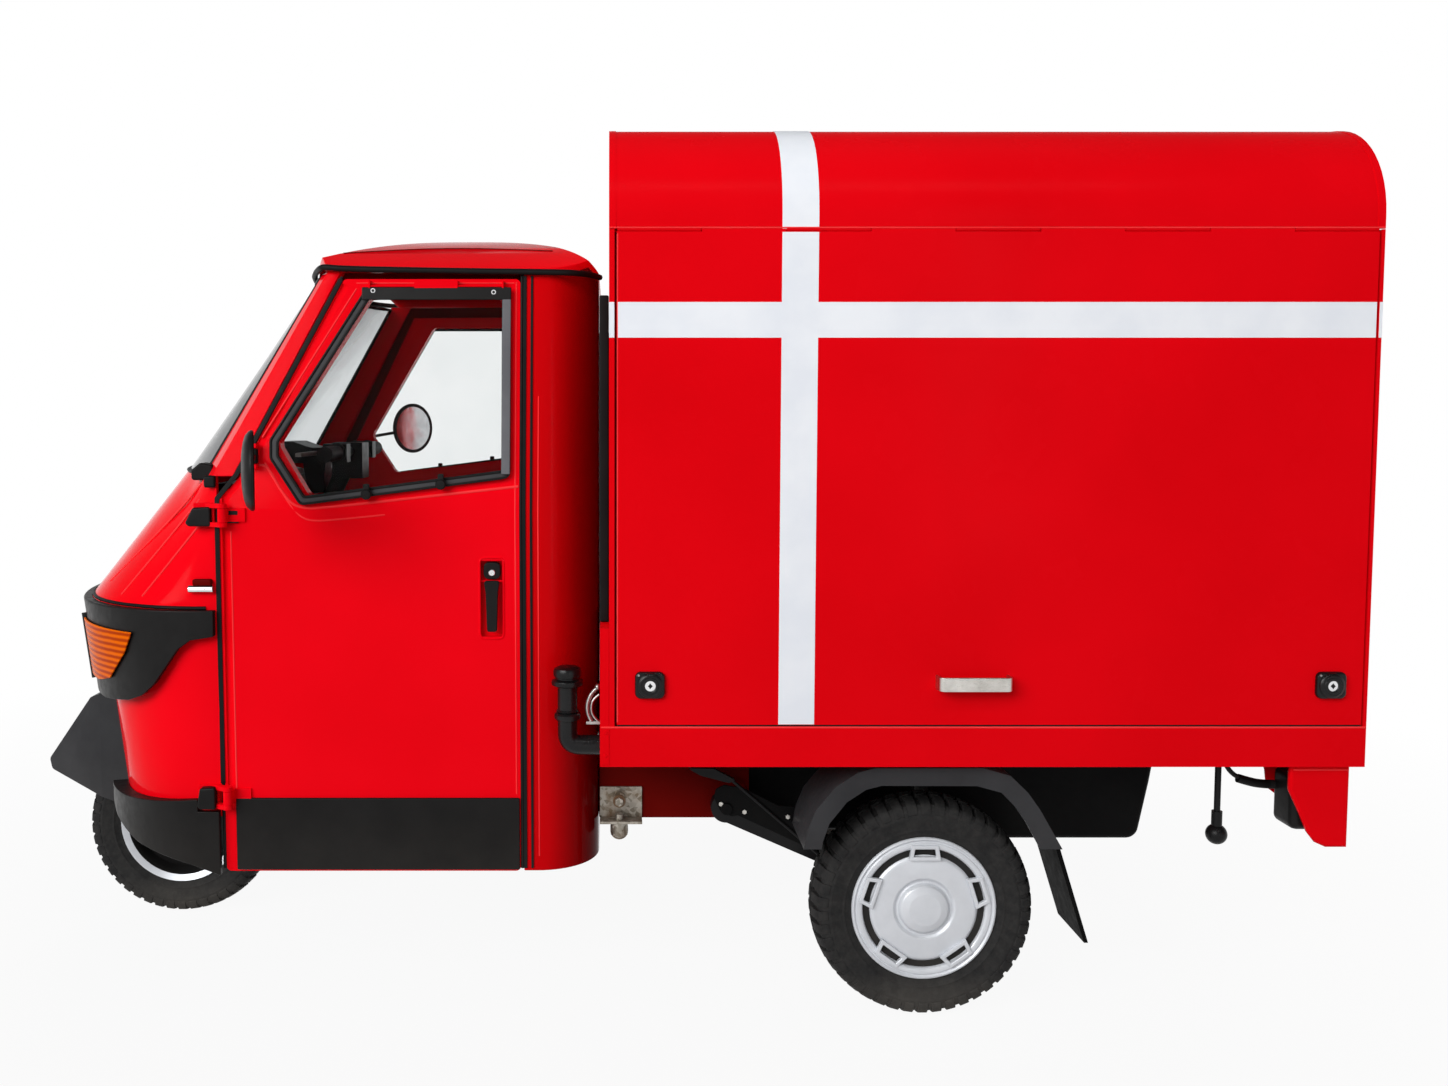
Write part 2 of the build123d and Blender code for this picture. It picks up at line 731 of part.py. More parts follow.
def cab_rear_wall():
    """Back of the cab: flat wall and rounded corner posts in one pressing."""
    rows = ((cab_bottom_z, sill_half_width), (waist_z, waist_half_width), (rail_z, rail_half_width))
    front = door_rear_x + door_gap
    outer = loft([rear_wall_section(z, width, 0.0, front) for z, width in rows], ruled=True)
    low, middle, high = rows
    inner_rows = ((low[0] - 1, low[1]), middle, (high[0] + 1, high[1]))
    inner = loft([rear_wall_section(z, width, cab_wall, front - 1) for z, width in inner_rows], ruled=True)
    save("cab_rear_wall", outer - inner)


# Doors

flap_outline = [(-625.0, 990.0), (-697.0, 1108.0), (-512.0, 1410.0), (-230.0, 1410.0), (-229.0, 1034.0)]
window_outline = [(-616.0, 1008.0), (-677.0, 1108.0), (-503.0, 1392.0), (-246.0, 1392.0), (-246.0, 1052.0)]
flap_hinge_z = 1413.0
flap_hinge_drop = 1.5


def flap_hinge_y():
    return -side_width(flap_hinge_z) - flap_gap - flap_thickness - flap_hinge_drop


def door():
    """Left door: pressed shell with window opening, handle recess and hinge knuckles."""
    outline = [
        (door_front_x, cab_bottom_z), (door_front_x, 1000.0), (-752.0, 1045.0), (-556.0, door_top_z),
        (door_rear_x, door_top_z), (door_rear_x, cab_bottom_z),
    ]
    band = end_prism(side_band(0.0, door_thickness, cab_bottom_z, door_top_z), door_front_x, door_rear_x)
    leaf = band & side_prism(outline, -box_half, 0, corner=10.0)
    leaf -= side_prism(window_outline, -box_half, 0, corner=18.0)
    half_plate = handle_plate_width / 2
    half_height = handle_plate_height / 2
    skin = -side_width(handle_plate_z)
    leaf -= block(handle_plate_x - half_plate, handle_plate_x + half_plate, skin - 5, skin + handle_recess,
                  handle_plate_z - half_height, handle_plate_z + half_height)
    half_knuckle = door_knuckle_height / 2
    for height in door_hinge_heights:
        skin = -side_width(height)
        low, high = height - half_knuckle, height + half_knuckle
        strap = block(door_hinge_x, door_hinge_x + 40.0, skin - 5, skin + 2, low, high)
        strap += block(door_hinge_x, door_hinge_x + door_knuckle_radius, door_hinge_y, skin + 2, low, high)
        strap += rod((door_hinge_x, door_hinge_y, low), (door_hinge_x, door_hinge_y, high),
                     door_knuckle_radius)
        leaf += strap
        leaf -= rod((door_hinge_x, door_hinge_y, low - 1), (door_hinge_x, door_hinge_y, high + 1),
                    door_pin_radius + run_fit)
    return leaf


def door_hinges():
    """Hinge brackets on the nose, each with two lugs and the pin through them."""
    lug = 9.0
    gap = 0.6
    half_knuckle = door_knuckle_height / 2
    nose = nose_solid(nose_floor_z, cowl_z, (-2 * seat_gap, -2 * seat_gap), back=nose_rear_x + 1)
    brackets = []
    for height in door_hinge_heights:
        low, high = height - half_knuckle - gap, height + half_knuckle + gap
        skin = -nose_row(height)[0]
        plate = block(nose_rear_x - hinge_plate, nose_rear_x - 2.0, skin - 8.0, skin + 2.0, low - lug, high + lug)
        bracket = rod((door_hinge_x, door_hinge_y, low - lug), (door_hinge_x, door_hinge_y, high + lug),
                      door_pin_radius)
        for z0 in (low - lug, high):
            bracket += rod((door_hinge_x, door_hinge_y, z0), (door_hinge_x, door_hinge_y, z0 + lug),
                           door_knuckle_radius)
            arm = [(nose_rear_x - 20.0, skin - 8.0), (door_hinge_x, door_hinge_y - door_knuckle_radius),
                   (door_hinge_x, door_hinge_y + 3.0), (nose_rear_x - 4.0, skin - 2.0)]
            bracket += plan_prism(arm, z0, z0 + lug)
        bracket += plate
        brackets.append(bracket - nose)
    save("door_hinges", *brackets, *[right(piece) for piece in brackets])


def window_flap():
    """Top-hung window: flat framed pane on the outside of the door, with two clamp knobs."""
    low, high = 985.0, flap_hinge_z - flap_hinge_radius
    near = -flap_gap
    far = -flap_gap - flap_thickness
    band = end_prism(side_band(far, near, low, high), door_front_x, door_rear_x)
    pane = band & side_prism(flap_outline, -box_half, 0, corner=16.0)
    knob_radius = 9.0
    knob_length = 16.0
    for knob_x, knob_z in ((-526.0, 1006.0), (-372.0, 1026.0)):
        skin = -side_width(knob_z)
        pane += rod((knob_x, skin + far + 2, knob_z), (knob_x, skin + far - knob_length, knob_z), knob_radius)
    hinge_y_here = flap_hinge_y()
    for x0 in (-500.0, -330.0):
        x1 = x0 + 80.0
        knuckle = rod((x0, hinge_y_here, flap_hinge_z), (x1, hinge_y_here, flap_hinge_z), flap_hinge_radius)
        skin = -side_width(high)
        knuckle += block(x0, x1, hinge_y_here - 2, skin + near - 3, flap_hinge_z - 12, flap_hinge_z)
        knuckle -= rod((x0 - 1, hinge_y_here, flap_hinge_z), (x1 + 1, hinge_y_here, flap_hinge_z),
                       hinge_pin_radius + run_fit)
        pane += knuckle
    return pane


def flap_hinge_bar():
    """Hinge bar of the window, fixed to the door above the opening."""
    x0, x1 = -506.0, -244.0
    y = flap_hinge_y()
    pin = rod((x0, y, flap_hinge_z), (x1, y, flap_hinge_z), hinge_pin_radius)
    skin = -side_width(door_top_z)
    for lug_x in (x0, -417.0, -247.0):
        lug_end = lug_x + 3.0 if lug_x != -417.0 else lug_x + 84.0
        pin += block(lug_x, lug_end, y - 4, skin + 3, flap_hinge_z - 4, door_top_z - 4)
    return pin


def door_lever():
    """Pull lever in the handle recess, hinged along its top edge, with its pivot pin."""
    half = lever_width / 2
    top = handle_plate_z + handle_plate_height / 2 - 34.0
    skin = -side_width(handle_plate_z)
    back = skin - lever_gap
    lever = block(handle_plate_x - half, handle_plate_x + half, back - lever_thickness, back,
                  top - lever_length, top)
    lever = fillet(lever.edges().filter_by(Axis.Y), radius=6.0)
    pivot_z = top - 6.0
    boss = block(handle_plate_x - 5, handle_plate_x + 5, back, skin + 8.0, pivot_z - 4, pivot_z + 4)
    lever += boss
    pin_y = skin + 4.0
    return lever, (pin_y, pivot_z)


def door_lever_pin(place):
    """Pin across the recess that carries the lever; the lever's boss is bored over it."""
    pin_y, pivot_z = place
    half = handle_plate_width / 2
    return rod((handle_plate_x - half, pin_y, pivot_z), (handle_plate_x + half, pin_y, pivot_z), 2.0)


def mirror_half_span(turn):
    """Half width of a mirror head across the vehicle when it is turned."""
    angle = math.radians(turn)
    flat_radius = mirror_radius - mirror_edge
    flat_half = mirror_thickness / 2 - mirror_edge
    return flat_radius * math.cos(angle) + flat_half * math.sin(angle) + mirror_edge


def mirror_piece(head_x, head_z, turn, grip):
    """Round mirror on an arm that holds it at a share of its radius, turning on an upright stub at the door."""
    base_y = -side_width(mirror_base_z) - 14.0
    reach = mirror_reach + mirror_half_span(mirror_turn) - mirror_half_span(turn)
    head = (head_x, base_y - reach, head_z)
    across, along = math.cos(math.radians(turn)), math.sin(math.radians(turn))
    disc_plane = Plane(origin=head, z_dir=Vector(across, along, 0))
    disc = disc_plane * Cylinder(mirror_radius, mirror_thickness)
    disc = fillet(disc.edges().filter_by(GeomType.CIRCLE), radius=mirror_edge)
    post = (mirror_base_x, base_y)
    hold = grip * mirror_radius
    arm_end = (head_x - along * hold, head[1] + across * hold, head_z - 0.2 * hold)
    arm = rod((*post, mirror_base_z - 14), (*post, mirror_base_z + 14), 10.0)
    arm += rod((*post, mirror_base_z), arm_end, mirror_arm_radius)
    arm += disc
    arm -= rod((*post, mirror_base_z - 20), (*post, mirror_base_z + 20), 4.0 + run_fit)
    return arm


def mirror_bracket():
    """Forked bracket on the door that carries the mirror's upright pin."""
    skin = -side_width(mirror_base_z)
    base_y = skin - 14.0
    pin = rod((mirror_base_x, base_y, mirror_base_z - 24), (mirror_base_x, base_y, mirror_base_z + 24), 4.0)
    for z0 in (mirror_base_z - 24.0, mirror_base_z + 16.0):
        pin += block(mirror_base_x - 8, mirror_base_x + 8, base_y - 8, skin + 6, z0, z0 + 8)
    return pin


def doors():
    lever, place = door_lever()
    pin_y, pivot_z = place
    lever -= rod((handle_plate_x - 30, pin_y, pivot_z), (handle_plate_x + 30, pin_y, pivot_z), 2.0 + run_fit)
    leaf = door() + flap_hinge_bar() + mirror_bracket() + door_lever_pin(place)
    pane = window_flap()
    for suffix, place_on in (("left", lambda piece: piece), ("right", right)):
        save("door_" + suffix, place_on(leaf))
        save("window_" + suffix, place_on(pane))
        save("door_handle_" + suffix, place_on(lever))
    save("mirror_left", mirror_piece(mirror_head_x, mirror_head_z, mirror_turn, 0.0))
    save("mirror_right", right(mirror_piece(right_mirror_x, right_mirror_z, right_mirror_turn, 0.88)))


# Steering and front wheel

def steering():
    """Stem, single-sided fork leg, link, handlebar, guard and front wheel, all in the straight-ahead pose."""
    crown_z = 500.0
    crown = steer_point(crown_z)
    crown_x = crown[0]
    crown_top = 40.0
    pivot = (front_axle_x + link_length, fork_side_y, axle_z + link_rise)
    stem = rod(steer_point(crown_z - 6), steer_point(bar_z - clamp_drop), stem_radius)
    stem += block(crown_x - 45, crown_x + 45, -30, fork_side_y + fork_leg_radius,
                  crown_z - crown_top / 2, crown_z + crown_top / 2)
    stem += rod((crown_x, fork_side_y, crown_z), pivot, fork_leg_radius)
    eye_y = fork_side_y + fork_leg_radius
    stem += rod((pivot[0], fork_side_y - fork_leg_radius, pivot[2]), (pivot[0], eye_y, pivot[2]), 24.0)
    pin_end = eye_y + seat_gap + link_thickness + 6
    stem += rod((pivot[0], fork_side_y, pivot[2]), (pivot[0], pin_end, pivot[2]), stub_axle_radius)
    save("steering_stem", stem)

    link_y = eye_y + seat_gap
    link = rod((pivot[0], link_y, pivot[2]), (pivot[0], link_y + link_thickness, pivot[2]), 26.0)
    link += rod((front_axle_x, link_y, axle_z), (front_axle_x, link_y + link_thickness, axle_z), 26.0)
    half = 16.0
    link += side_prism([
        (front_axle_x, axle_z - half), (pivot[0], pivot[2] - half), (pivot[0], pivot[2] + half),
        (front_axle_x, axle_z + half),
    ], link_y, link_y + link_thickness)
    link -= rod((pivot[0], link_y - 1, pivot[2]), (pivot[0], link_y + link_thickness + 1, pivot[2]),
                stub_axle_radius + run_fit)
    stub_start = -bead_half_width + 8.0
    link += rod((front_axle_x, stub_start, axle_z), (front_axle_x, link_y + 2, axle_z), stub_axle_radius)
    save("front_link", link)

    place = Pos(front_axle_x, 0, axle_z)
    save("front_tyre", place * tyre_ring())
    drum = ring(hub_radius - 2, drum_radius, 4.0, 38.0)
    save("front_rim", place * (rim_ring(-8.0) + drum))


guard_outline = [
    (guard_tip_x, 366.0), (guard_tip_x + 6.0, 342.0), (-1130.0, 266.0), (-1085.0, 290.0), (-1050.0, 420.0),
    (-985.0, 470.0), (-925.0, 462.0), (-858.0, 388.0), (-836.0, 402.0), (-905.0, 500.0), (-1010.0, 548.0),
    (-1130.0, 560.0), (-1225.0, 520.0),
]


def front_guard():
    """Beak-shaped front mudguard over the tyre, hollow from below, with a strap to the fork leg."""
    crown_z = 500.0
    outer = side_prism(guard_outline, -guard_half_width, guard_half_width)
    tip_half = 34.0
    wedge = [
        (guard_tip_x, -tip_half), (-1200.0, -guard_half_width), (-800.0, -guard_half_width),
        (-800.0, guard_half_width), (-1200.0, guard_half_width), (guard_tip_x, tip_half),
    ]
    outer &= plan_prism(wedge, 200.0, 700.0)
    room_half = tyre_width / 2 + 6.0
    wheel_room = rod((front_axle_x, -room_half, axle_z), (front_axle_x, room_half, axle_z), tyre_radius + 30.0)
    hollow = [
        (guard_tip_x + 16.0, 360.0), (guard_tip_x + 22.0, 240.0), (-790.0, 240.0), (-843.0, 390.0),
        (-912.0, 490.0), (-1012.0, 537.0), (-1128.0, 549.0), (-1219.0, 511.0),
    ]
    inner = side_prism(hollow, -guard_half_width + guard_wall, guard_half_width - guard_wall)
    wedge_inner = [
        (guard_tip_x + 10.0, -tip_half + guard_wall), (-1200.0, -guard_half_width + guard_wall),
        (-780.0, -guard_half_width + guard_wall), (-780.0, guard_half_width - guard_wall),
        (-1200.0, guard_half_width - guard_wall), (guard_tip_x + 10.0, tip_half - guard_wall),
    ]
    inner &= plan_prism(wedge_inner, 200.0, 700.0)
    shell = outer - inner - wheel_room
    crown = steer_point(crown_z)
    relief = seat_gap
    shell -= block(crown[0] - 45 - relief, crown[0] + 45 + relief, -30 - relief,
                   fork_side_y + fork_leg_radius + relief, crown_z - 20 - relief, crown_z + 20 + relief)
    shell -= rod(steer_point(crown_z - 60), steer_point(crown_z + 80), stem_radius + relief)
    pivot = (front_axle_x + link_length, fork_side_y, axle_z + link_rise)
    shell -= rod((crown[0], fork_side_y, crown_z), pivot, fork_leg_radius + relief)
    save("front_mudguard", *sorted(shell.solids(), key=lambda solid: -solid.volume)[:1])


def handlebar():
    """Handlebar with its clamp on the stem, the two twist grips and the clutch lever."""
    centre = steer_point(bar_z)
    x = centre[0]
    grip_start = bar_half_length - grip_length
    bar = rod((x, -bar_half_length, bar_z), (x, bar_half_length, bar_z), bar_radius)
    clamp = block(x - 40, x + 30, -38, 38, bar_z - 62, bar_z + 20)
    clamp -= rod(steer_point(bar_z - 120), steer_point(bar_z - clamp_drop), stem_radius)
    pod = block(x - 30, x + 22, -grip_start + 2, -grip_start + 42, bar_z - 20, bar_z + 20)
    pod += block(x - 30, x + 22, grip_start - 42, grip_start - 2, bar_z - 20, bar_z + 20)
    perch_x = x - 48.0
    perch_y = -grip_start + 22.0
    pod += block(perch_x - 10, x - 20, perch_y - 12, perch_y + 12, bar_z - 12, bar_z - 5)
    pod += block(perch_x - 10, x - 20, perch_y - 12, perch_y + 12, bar_z + 5, bar_z + 12)
    pod += rod((perch_x, perch_y, bar_z - 12), (perch_x, perch_y, bar_z + 12), 4.0)
    visor = side_prism([
        (x - 163, bar_z + 12), (x - 154, bar_z + 23), (x - 121, bar_z + 23), (x - 91, bar_z + 12),
        (x - 20, bar_z - 5), (x - 15, bar_z - 13), (x - 24, bar_z - 21), (x - 66, bar_z - 26),
        (x - 120, bar_z - 26), (x - 157, bar_z - 6),
    ], -hood_half_width, hood_half_width)
    neck_half = 34.0
    neck = side_prism([
        (x - 108, bar_z - 22), (x - 55, bar_z - 22), (x - 62, bar_z - 95), (x - 96, bar_z - 95),
    ], -neck_half, neck_half)
    hood = visor + neck - rod(steer_point(bar_z - 140), steer_point(bar_z + 40), stem_radius + seat_gap)
    save("handlebar", bar + clamp + pod + hood)
    for name, side in (("gear_grip", -1), ("throttle_grip", 1)):
        start = (x, side * (grip_start + 1), bar_z)
        end = (x, side * bar_half_length, bar_z)
        sleeve = rod(start, end, grip_radius)
        sleeve += rod(start, (x, side * (grip_start + 7), bar_z), grip_radius + 5)
        bore_start = (x, side * (grip_start - 5), bar_z)
        sleeve -= rod(bore_start, (x, side * (bar_half_length + 5), bar_z), bar_radius + run_fit)
        save(name, sleeve)
    lever_half = 4.0
    blade = plan_prism([
        (perch_x - 9, perch_y + 9), (perch_x + 9, perch_y + 9), (perch_x + 6, perch_y - 20),
        (perch_x + 2, perch_y - 150), (perch_x - 10, perch_y - 150), (perch_x - 9, perch_y - 20),
    ], bar_z - lever_half, bar_z + lever_half)
    blade -= rod((perch_x, perch_y, bar_z - 20), (perch_x, perch_y, bar_z + 20), 4.0 + run_fit)
    save("clutch_lever", blade)


# Cab fittings

def dashboard():
    """Shelf under the windscreen with a raised ridge, and its two end feet on the nose."""
    front, back = -838.0, -762.0
    width = 405.0
    shelf = plan_prism([(front, -width + 30), (back, -width), (back, width), (front, width - 30)],
                       cowl_z - 75, cowl_z - 20)
    ridge = side_prism([(-835.0, cowl_z - 20), (-770.0, cowl_z - 20), (-778.0, cowl_z - 8),
                        (-815.0, cowl_z)], -100, 100)
    foot = block(front, nose_rear_x - 2.0, -sill_half_width, -width + 60, cowl_z - 75, cowl_z - 55)
    inset = nose_wall + seat_gap
    foot &= nose_solid(nose_floor_z - 0.5, cowl_z + 0.5, (inset, inset), back=nose_rear_x + 1)
    save("dashboard", shelf + ridge + foot + right(foot))


def cushion(x0, x1, y0, y1, z0, crown, draw):
    """Padded block: three rows with drawn-in sides and a crowned top."""
    height = crown * 2.2
    rows = ((z0, draw), (z0 + height * 0.45, 0.0), (z0 + height * 0.8, draw * 1.2))
    radius = 34.0
    faces = []
    for z, inset in rows:
        face = Rectangle(x1 - x0 - 2 * inset, y1 - y0 - 2 * inset)
        face = fillet(face.vertices(), radius=radius)
        faces.append(Pos((x0 + x1) / 2, (y0 + y1) / 2, z) * face)
    body = loft(faces)
    half = (y1 - y0) / 2
    arch = Curve() + [
        ThreePointArc((0, y0 - 5, z0 + height * 0.55), (0, (y0 + y1) / 2, z0 + height * 0.8),
                      (0, y1 + 5, z0 + height * 0.55)),
        Polyline((0, y1 + 5, z0 + height * 0.55), (0, y1 + 5, z0 - 5), (0, y0 - 5, z0 - 5),
                 (0, y0 - 5, z0 + height * 0.55)),
    ]
    dome = extrude(make_face(arch), amount=reach, dir=(1, 0, 0), both=True)
    return body & dome


def seats():
    """Seat pad on the seat box, and the back pad on the rear wall, both crowned."""
    pad = cushion(-445.0, -125.0, -275.0, 275.0, 560.0 + seat_gap, 50.0, 12.0)
    save("seat_cushion", pad)
    back = cushion(-170.0, 170.0, -255.0, 255.0, 0.0, 38.0, 10.0)
    lean = Pos(cab_rear_x - cab_wall - seat_gap, 0, 860.0) * Rot(0, -90, 0)
    save("seat_back", lean * back)


def pedal_brackets():
    """Forked brackets and pins on the floor for the foot brake and the hand brake."""
    forks = Part()
    for (x, y, z), half in ((pedal_pivot, pedal_half), (handbrake_pivot, handbrake_half)):
        room = half + 0.6
        forks += rod((x, y - room - 7, z), (x, y + room + 7, z), 6.0)
        for y0 in (y - room - 7, y + room):
            forks += block(x - 11, x + 11, y0, y0 + 7, floor_top_z, z + 10)
    return forks


def pedals():
    """Foot brake and hand brake, each bored over its bracket pin."""
    x, y, z = pedal_pivot
    arm = rod((x, y - pedal_half, z), (x, y + pedal_half, z), 11.0)
    arm += rod((x, y, z), (x - 20, y, z + 130), 7.0)
    arm += Pos(x - 22, y, z + 132) * Rot(0, -25, 0) * Box(14, 70, 58)
    arm -= rod((x, y - 20, z), (x, y + 20, z), 6.0 + run_fit)
    save("brake_pedal", arm)
    hx, hy, hz = handbrake_pivot
    lever = rod((hx, hy - handbrake_half, hz), (hx, hy + handbrake_half, hz), 13.0)
    lever += rod((hx, hy, hz), (hx + 190, hy, hz + 110), 7.0)
    lever += rod((hx + 100, hy, hz + 58), (hx + 200, hy, hz + 116), 12.0)
    lever -= rod((hx, hy - 20, hz), (hx, hy + 20, hz), 6.0 + run_fit)
    save("handbrake", lever)


def wiper():
    """Wiper parked on the right half of the windscreen, its spindle square to the glass near the cowl."""
    lean = math.atan2(glass_top[1] - glass_base[1], glass_head_z - glass_foot_z)
    rise = 42.0
    foot = Vector(glass_base[1] + math.tan(lean) * rise, 0, glass_foot_z + rise)
    outward = Vector(-math.cos(lean), 0, math.sin(lean))
    glass_plane = Plane(origin=foot, x_dir=(0, 1, 0), z_dir=outward)
    park = math.radians(wiper_park)
    arm_height, blade_height = 16.0, 10.0

    def along(distance, height):
        return glass_plane.from_local_coords((distance * math.sin(park), -distance * math.cos(park), height))

    arm = rod(along(0, seat_gap), along(0, arm_height + 8), 9.0)
    arm += rod(along(0, arm_height), along(wiper_length, arm_height), 5.0)
    arm += rod(along(wiper_length * 0.62, blade_height), along(wiper_length * 0.62, arm_height), 4.0)
    arm += rod(along(wiper_length * 0.35, blade_height), along(wiper_length * 1.15, blade_height), 4.0)
    save("wiper", arm)


# Food box

def box_profile(inset):
    """End outline of the box from the deck to its rounded roof, drawn in by an inset."""
    side = box_half - inset
    radius = shoulder_radius - inset
    flat_half = box_half - shoulder_radius
    diagonal = radius * math.sqrt(0.5)
    top = shoulder_z + radius
    outline = Curve() + [
        Line((0, -side, deck_top_z), (0, -side, shoulder_z)),
        ThreePointArc((0, -side, shoulder_z), (0, -flat_half - diagonal, shoulder_z + diagonal),
                      (0, -flat_half, top)),
        Line((0, -flat_half, top), (0, flat_half, top)),
        ThreePointArc((0, flat_half, top), (0, flat_half + diagonal, shoulder_z + diagonal),
                      (0, side, shoulder_z)),
        Line((0, side, shoulder_z), (0, side, deck_top_z)),
        Line((0, side, deck_top_z), (0, -side, deck_top_z)),
    ]
    return make_face(outline)


def box_bar(inset, x0, x1):
    return Pos(x0, 0, 0) * extrude(box_profile(inset), amount=x1 - x0, dir=(1, 0, 0))


def deck():
    """Flat deck with its skirt rails, cross bars down to the beams, a rear sill and a tread plate."""
    floor = block(deck_front_x, box_rear_x, -box_half, box_half, deck_top_z - deck_floor_thickness, deck_top_z)
    for y0 in (-box_half, box_half - skirt_rail):
        floor += block(deck_front_x, box_rear_x, y0, y0 + skirt_rail, skirt_z, deck_top_z)
    for x0 in (deck_front_x, box_rear_x - skirt_rail):
        floor += block(x0, x0 + skirt_rail, -box_half, box_half, skirt_z, deck_top_z)
    for bar_x in (deck_front_x + 176.0, rear_axle_x + 33.0, rear_axle_x + 493.0):
        floor += block(bar_x, bar_x + skirt_rail, -box_half, box_half, skirt_z, deck_top_z)
    headboard = block(deck_front_x, box_front_x - seat_gap, -box_half, box_half, deck_top_z, headboard_z)
    inside = panel + floor_plate_margin
    tread = block(box_front_x + inside, box_rear_x - inside, frame_inner_y + floor_plate_margin,
                  counter_front_y - 2 * floor_plate_margin, deck_top_z, deck_top_z + floor_plate)
    save("deck", floor + headboard + tread + lever_eye())


def box_shell():
    """Right wall, front and rear walls under the roof, and the roof itself."""
    right_wall = block(box_front_x, box_rear_x, box_half - panel, box_half, deck_top_z, hatch_seam_z)
    frame_top = shoulder_z
    frame_room = block(box_front_x - 1, box_rear_x + 1, -box_half - 1, frame_inner_y, deck_top_z - 1, frame_top)
    front_wall = box_bar(panel, box_front_x, box_front_x + panel) - frame_room
    rear_wall = box_bar(panel, box_rear_x - panel, box_rear_x) - frame_room
    save("box_walls", right_wall + front_wall + rear_wall)
    roof = box_bar(0.0, box_front_x, box_rear_x) - box_bar(panel, box_front_x - 1, box_rear_x + 1)
    roof -= block(box_front_x - 1, box_rear_x + 1, -box_half - 1, box_half + 1, deck_top_z - 1, hatch_seam_z)
    left_edge = hatch_seam_z + hatch_gap
    roof -= block(box_front_x - 1, box_rear_x + 1, -box_half - 1, 0, hatch_seam_z - 1, left_edge)
    save("box_roof", roof)


def hinge_stations():
    """Start and end of each hinge knuckle along the seam."""
    gap = 1.0
    span = (hatch_rear_x - hatch_front_x) / hinge_count
    return [(hatch_front_x + i * span + gap, hatch_front_x + (i + 1) * span - gap) for i in range(hinge_count)]


def hinge_knuckle(x0, x1, rise):
    """One knuckle in the seam, with its web up to the roof (rise 1) or down to the hatch (rise -1)."""
    knuckle = rod((x0, hinge_y, hatch_seam_z), (x1, hinge_y, hatch_seam_z), hinge_radius)
    edge = hatch_seam_z + rise * hatch_gap
    knuckle += block(x0, x1, -box_half, hinge_y + hinge_radius, *sorted((hatch_seam_z, edge)))
    return knuckle


def hatch_frame():
    """Frame round the side opening, its end strips, and the fixed half of the piano hinge with its pin."""
    frame_top = shoulder_z
    frame = block(box_front_x, box_rear_x, frame_y, frame_inner_y, deck_top_z, frame_top)
    frame -= block(box_front_x + frame_jamb, box_rear_x - frame_jamb, frame_y - 1, frame_inner_y + 1,
                   deck_top_z + frame_sill, hatch_seam_z - frame_jamb)
    frame += block(box_front_x, box_front_x + front_strip, -box_half, frame_y, deck_top_z, hatch_seam_z)
    frame += block(box_rear_x - rear_strip, box_rear_x, -box_half, frame_y, deck_top_z, hatch_seam_z)
    stations = hinge_stations()
    fixed = rod((stations[0][0], hinge_y, hatch_seam_z), (stations[-1][1], hinge_y, hatch_seam_z),
                hinge_pin_radius)
    for x0, x1 in stations[::2]:
        fixed += hinge_knuckle(x0, x1, 1)
    save("hatch_frame", frame, fixed)


lock_places = ((hatch_front_x + lock_inset, 1, "front"), (hatch_rear_x - lock_inset, -1, "rear"))
lock_z = hatch_bottom_z + lock_height
handle_z = hatch_bottom_z + handle_height
handle_x = (box_front_x + box_rear_x) / 2 - 30.5


def hatch():
    """Hatch panel with the moving half of the hinge, its bow handle, lock plates, key plugs and cams."""
    leaf = block(hatch_front_x, hatch_rear_x, -box_half, hatch_inner_y, hatch_bottom_z, hatch_top_z)
    for x0, x1 in hinge_stations()[1::2]:
        leaf += hinge_knuckle(x0, x1, -1)
    leaf -= rod((hatch_front_x - 1, hinge_y, hatch_seam_z), (hatch_rear_x + 1, hinge_y, hatch_seam_z),
                hinge_pin_radius + run_fit)
    plates = []
    plate_face = -box_half - lock_plate_proud
    for lock_x, side, name in lock_places:
        bore = rod((lock_x, plate_face - 5, lock_z), (lock_x, hatch_inner_y + 5, lock_z),
                   lock_plug_radius + run_fit)
        leaf -= bore
        half = lock_plate_width / 2
        tall = lock_plate_height / 2
        plate = block(lock_x - half, lock_x + half, plate_face, -box_half, lock_z - tall, lock_z + tall)
        plate = fillet(plate.edges().filter_by(Axis.Y), radius=11.0)
        plate = chamfer(plate.faces().sort_by(Axis.Y)[0].edges(), length=3.0)
        plates.append(plate - bore)
        cam_y = frame_inner_y + 2.0
        plug = rod((lock_x, plate_face - 3, lock_z), (lock_x, cam_y + lock_cam_thickness, lock_z),
                   lock_plug_radius)
        half_cam = lock_cam_width / 2
        cam_end = lock_x + side * lock_cam_length
        plug += block(*sorted((lock_x, cam_end)), cam_y, cam_y + lock_cam_thickness,
                      lock_z - half_cam, lock_z + half_cam)
        plug -= block(lock_x - 1, lock_x + 1, plate_face - 4, plate_face + 5, lock_z - 5, lock_z + 5)
        save("hatch_lock_" + name, plug)
    save("hatch_panel", leaf)
    save("hatch_lock_plates", *plates)
    half = handle_length / 2
    low, high = handle_z - handle_depth / 2, handle_z + handle_depth / 2
    bow = block(handle_x - half, handle_x + half, -box_half - handle_stand, -box_half, low, high)
    bow = fillet(bow.edges().filter_by(Axis.Z).group_by(Axis.Y)[0], radius=12.0)
    gap = block(handle_x - half + handle_strip, handle_x + half - handle_strip,
                -box_half - handle_stand + handle_strip, -box_half + 1, low - 1, high + 1)
    gap = fillet(gap.edges().filter_by(Axis.Z).group_by(Axis.Y)[0], radius=12.0 - handle_strip)
    bow -= gap
    save("hatch_handle", bow)


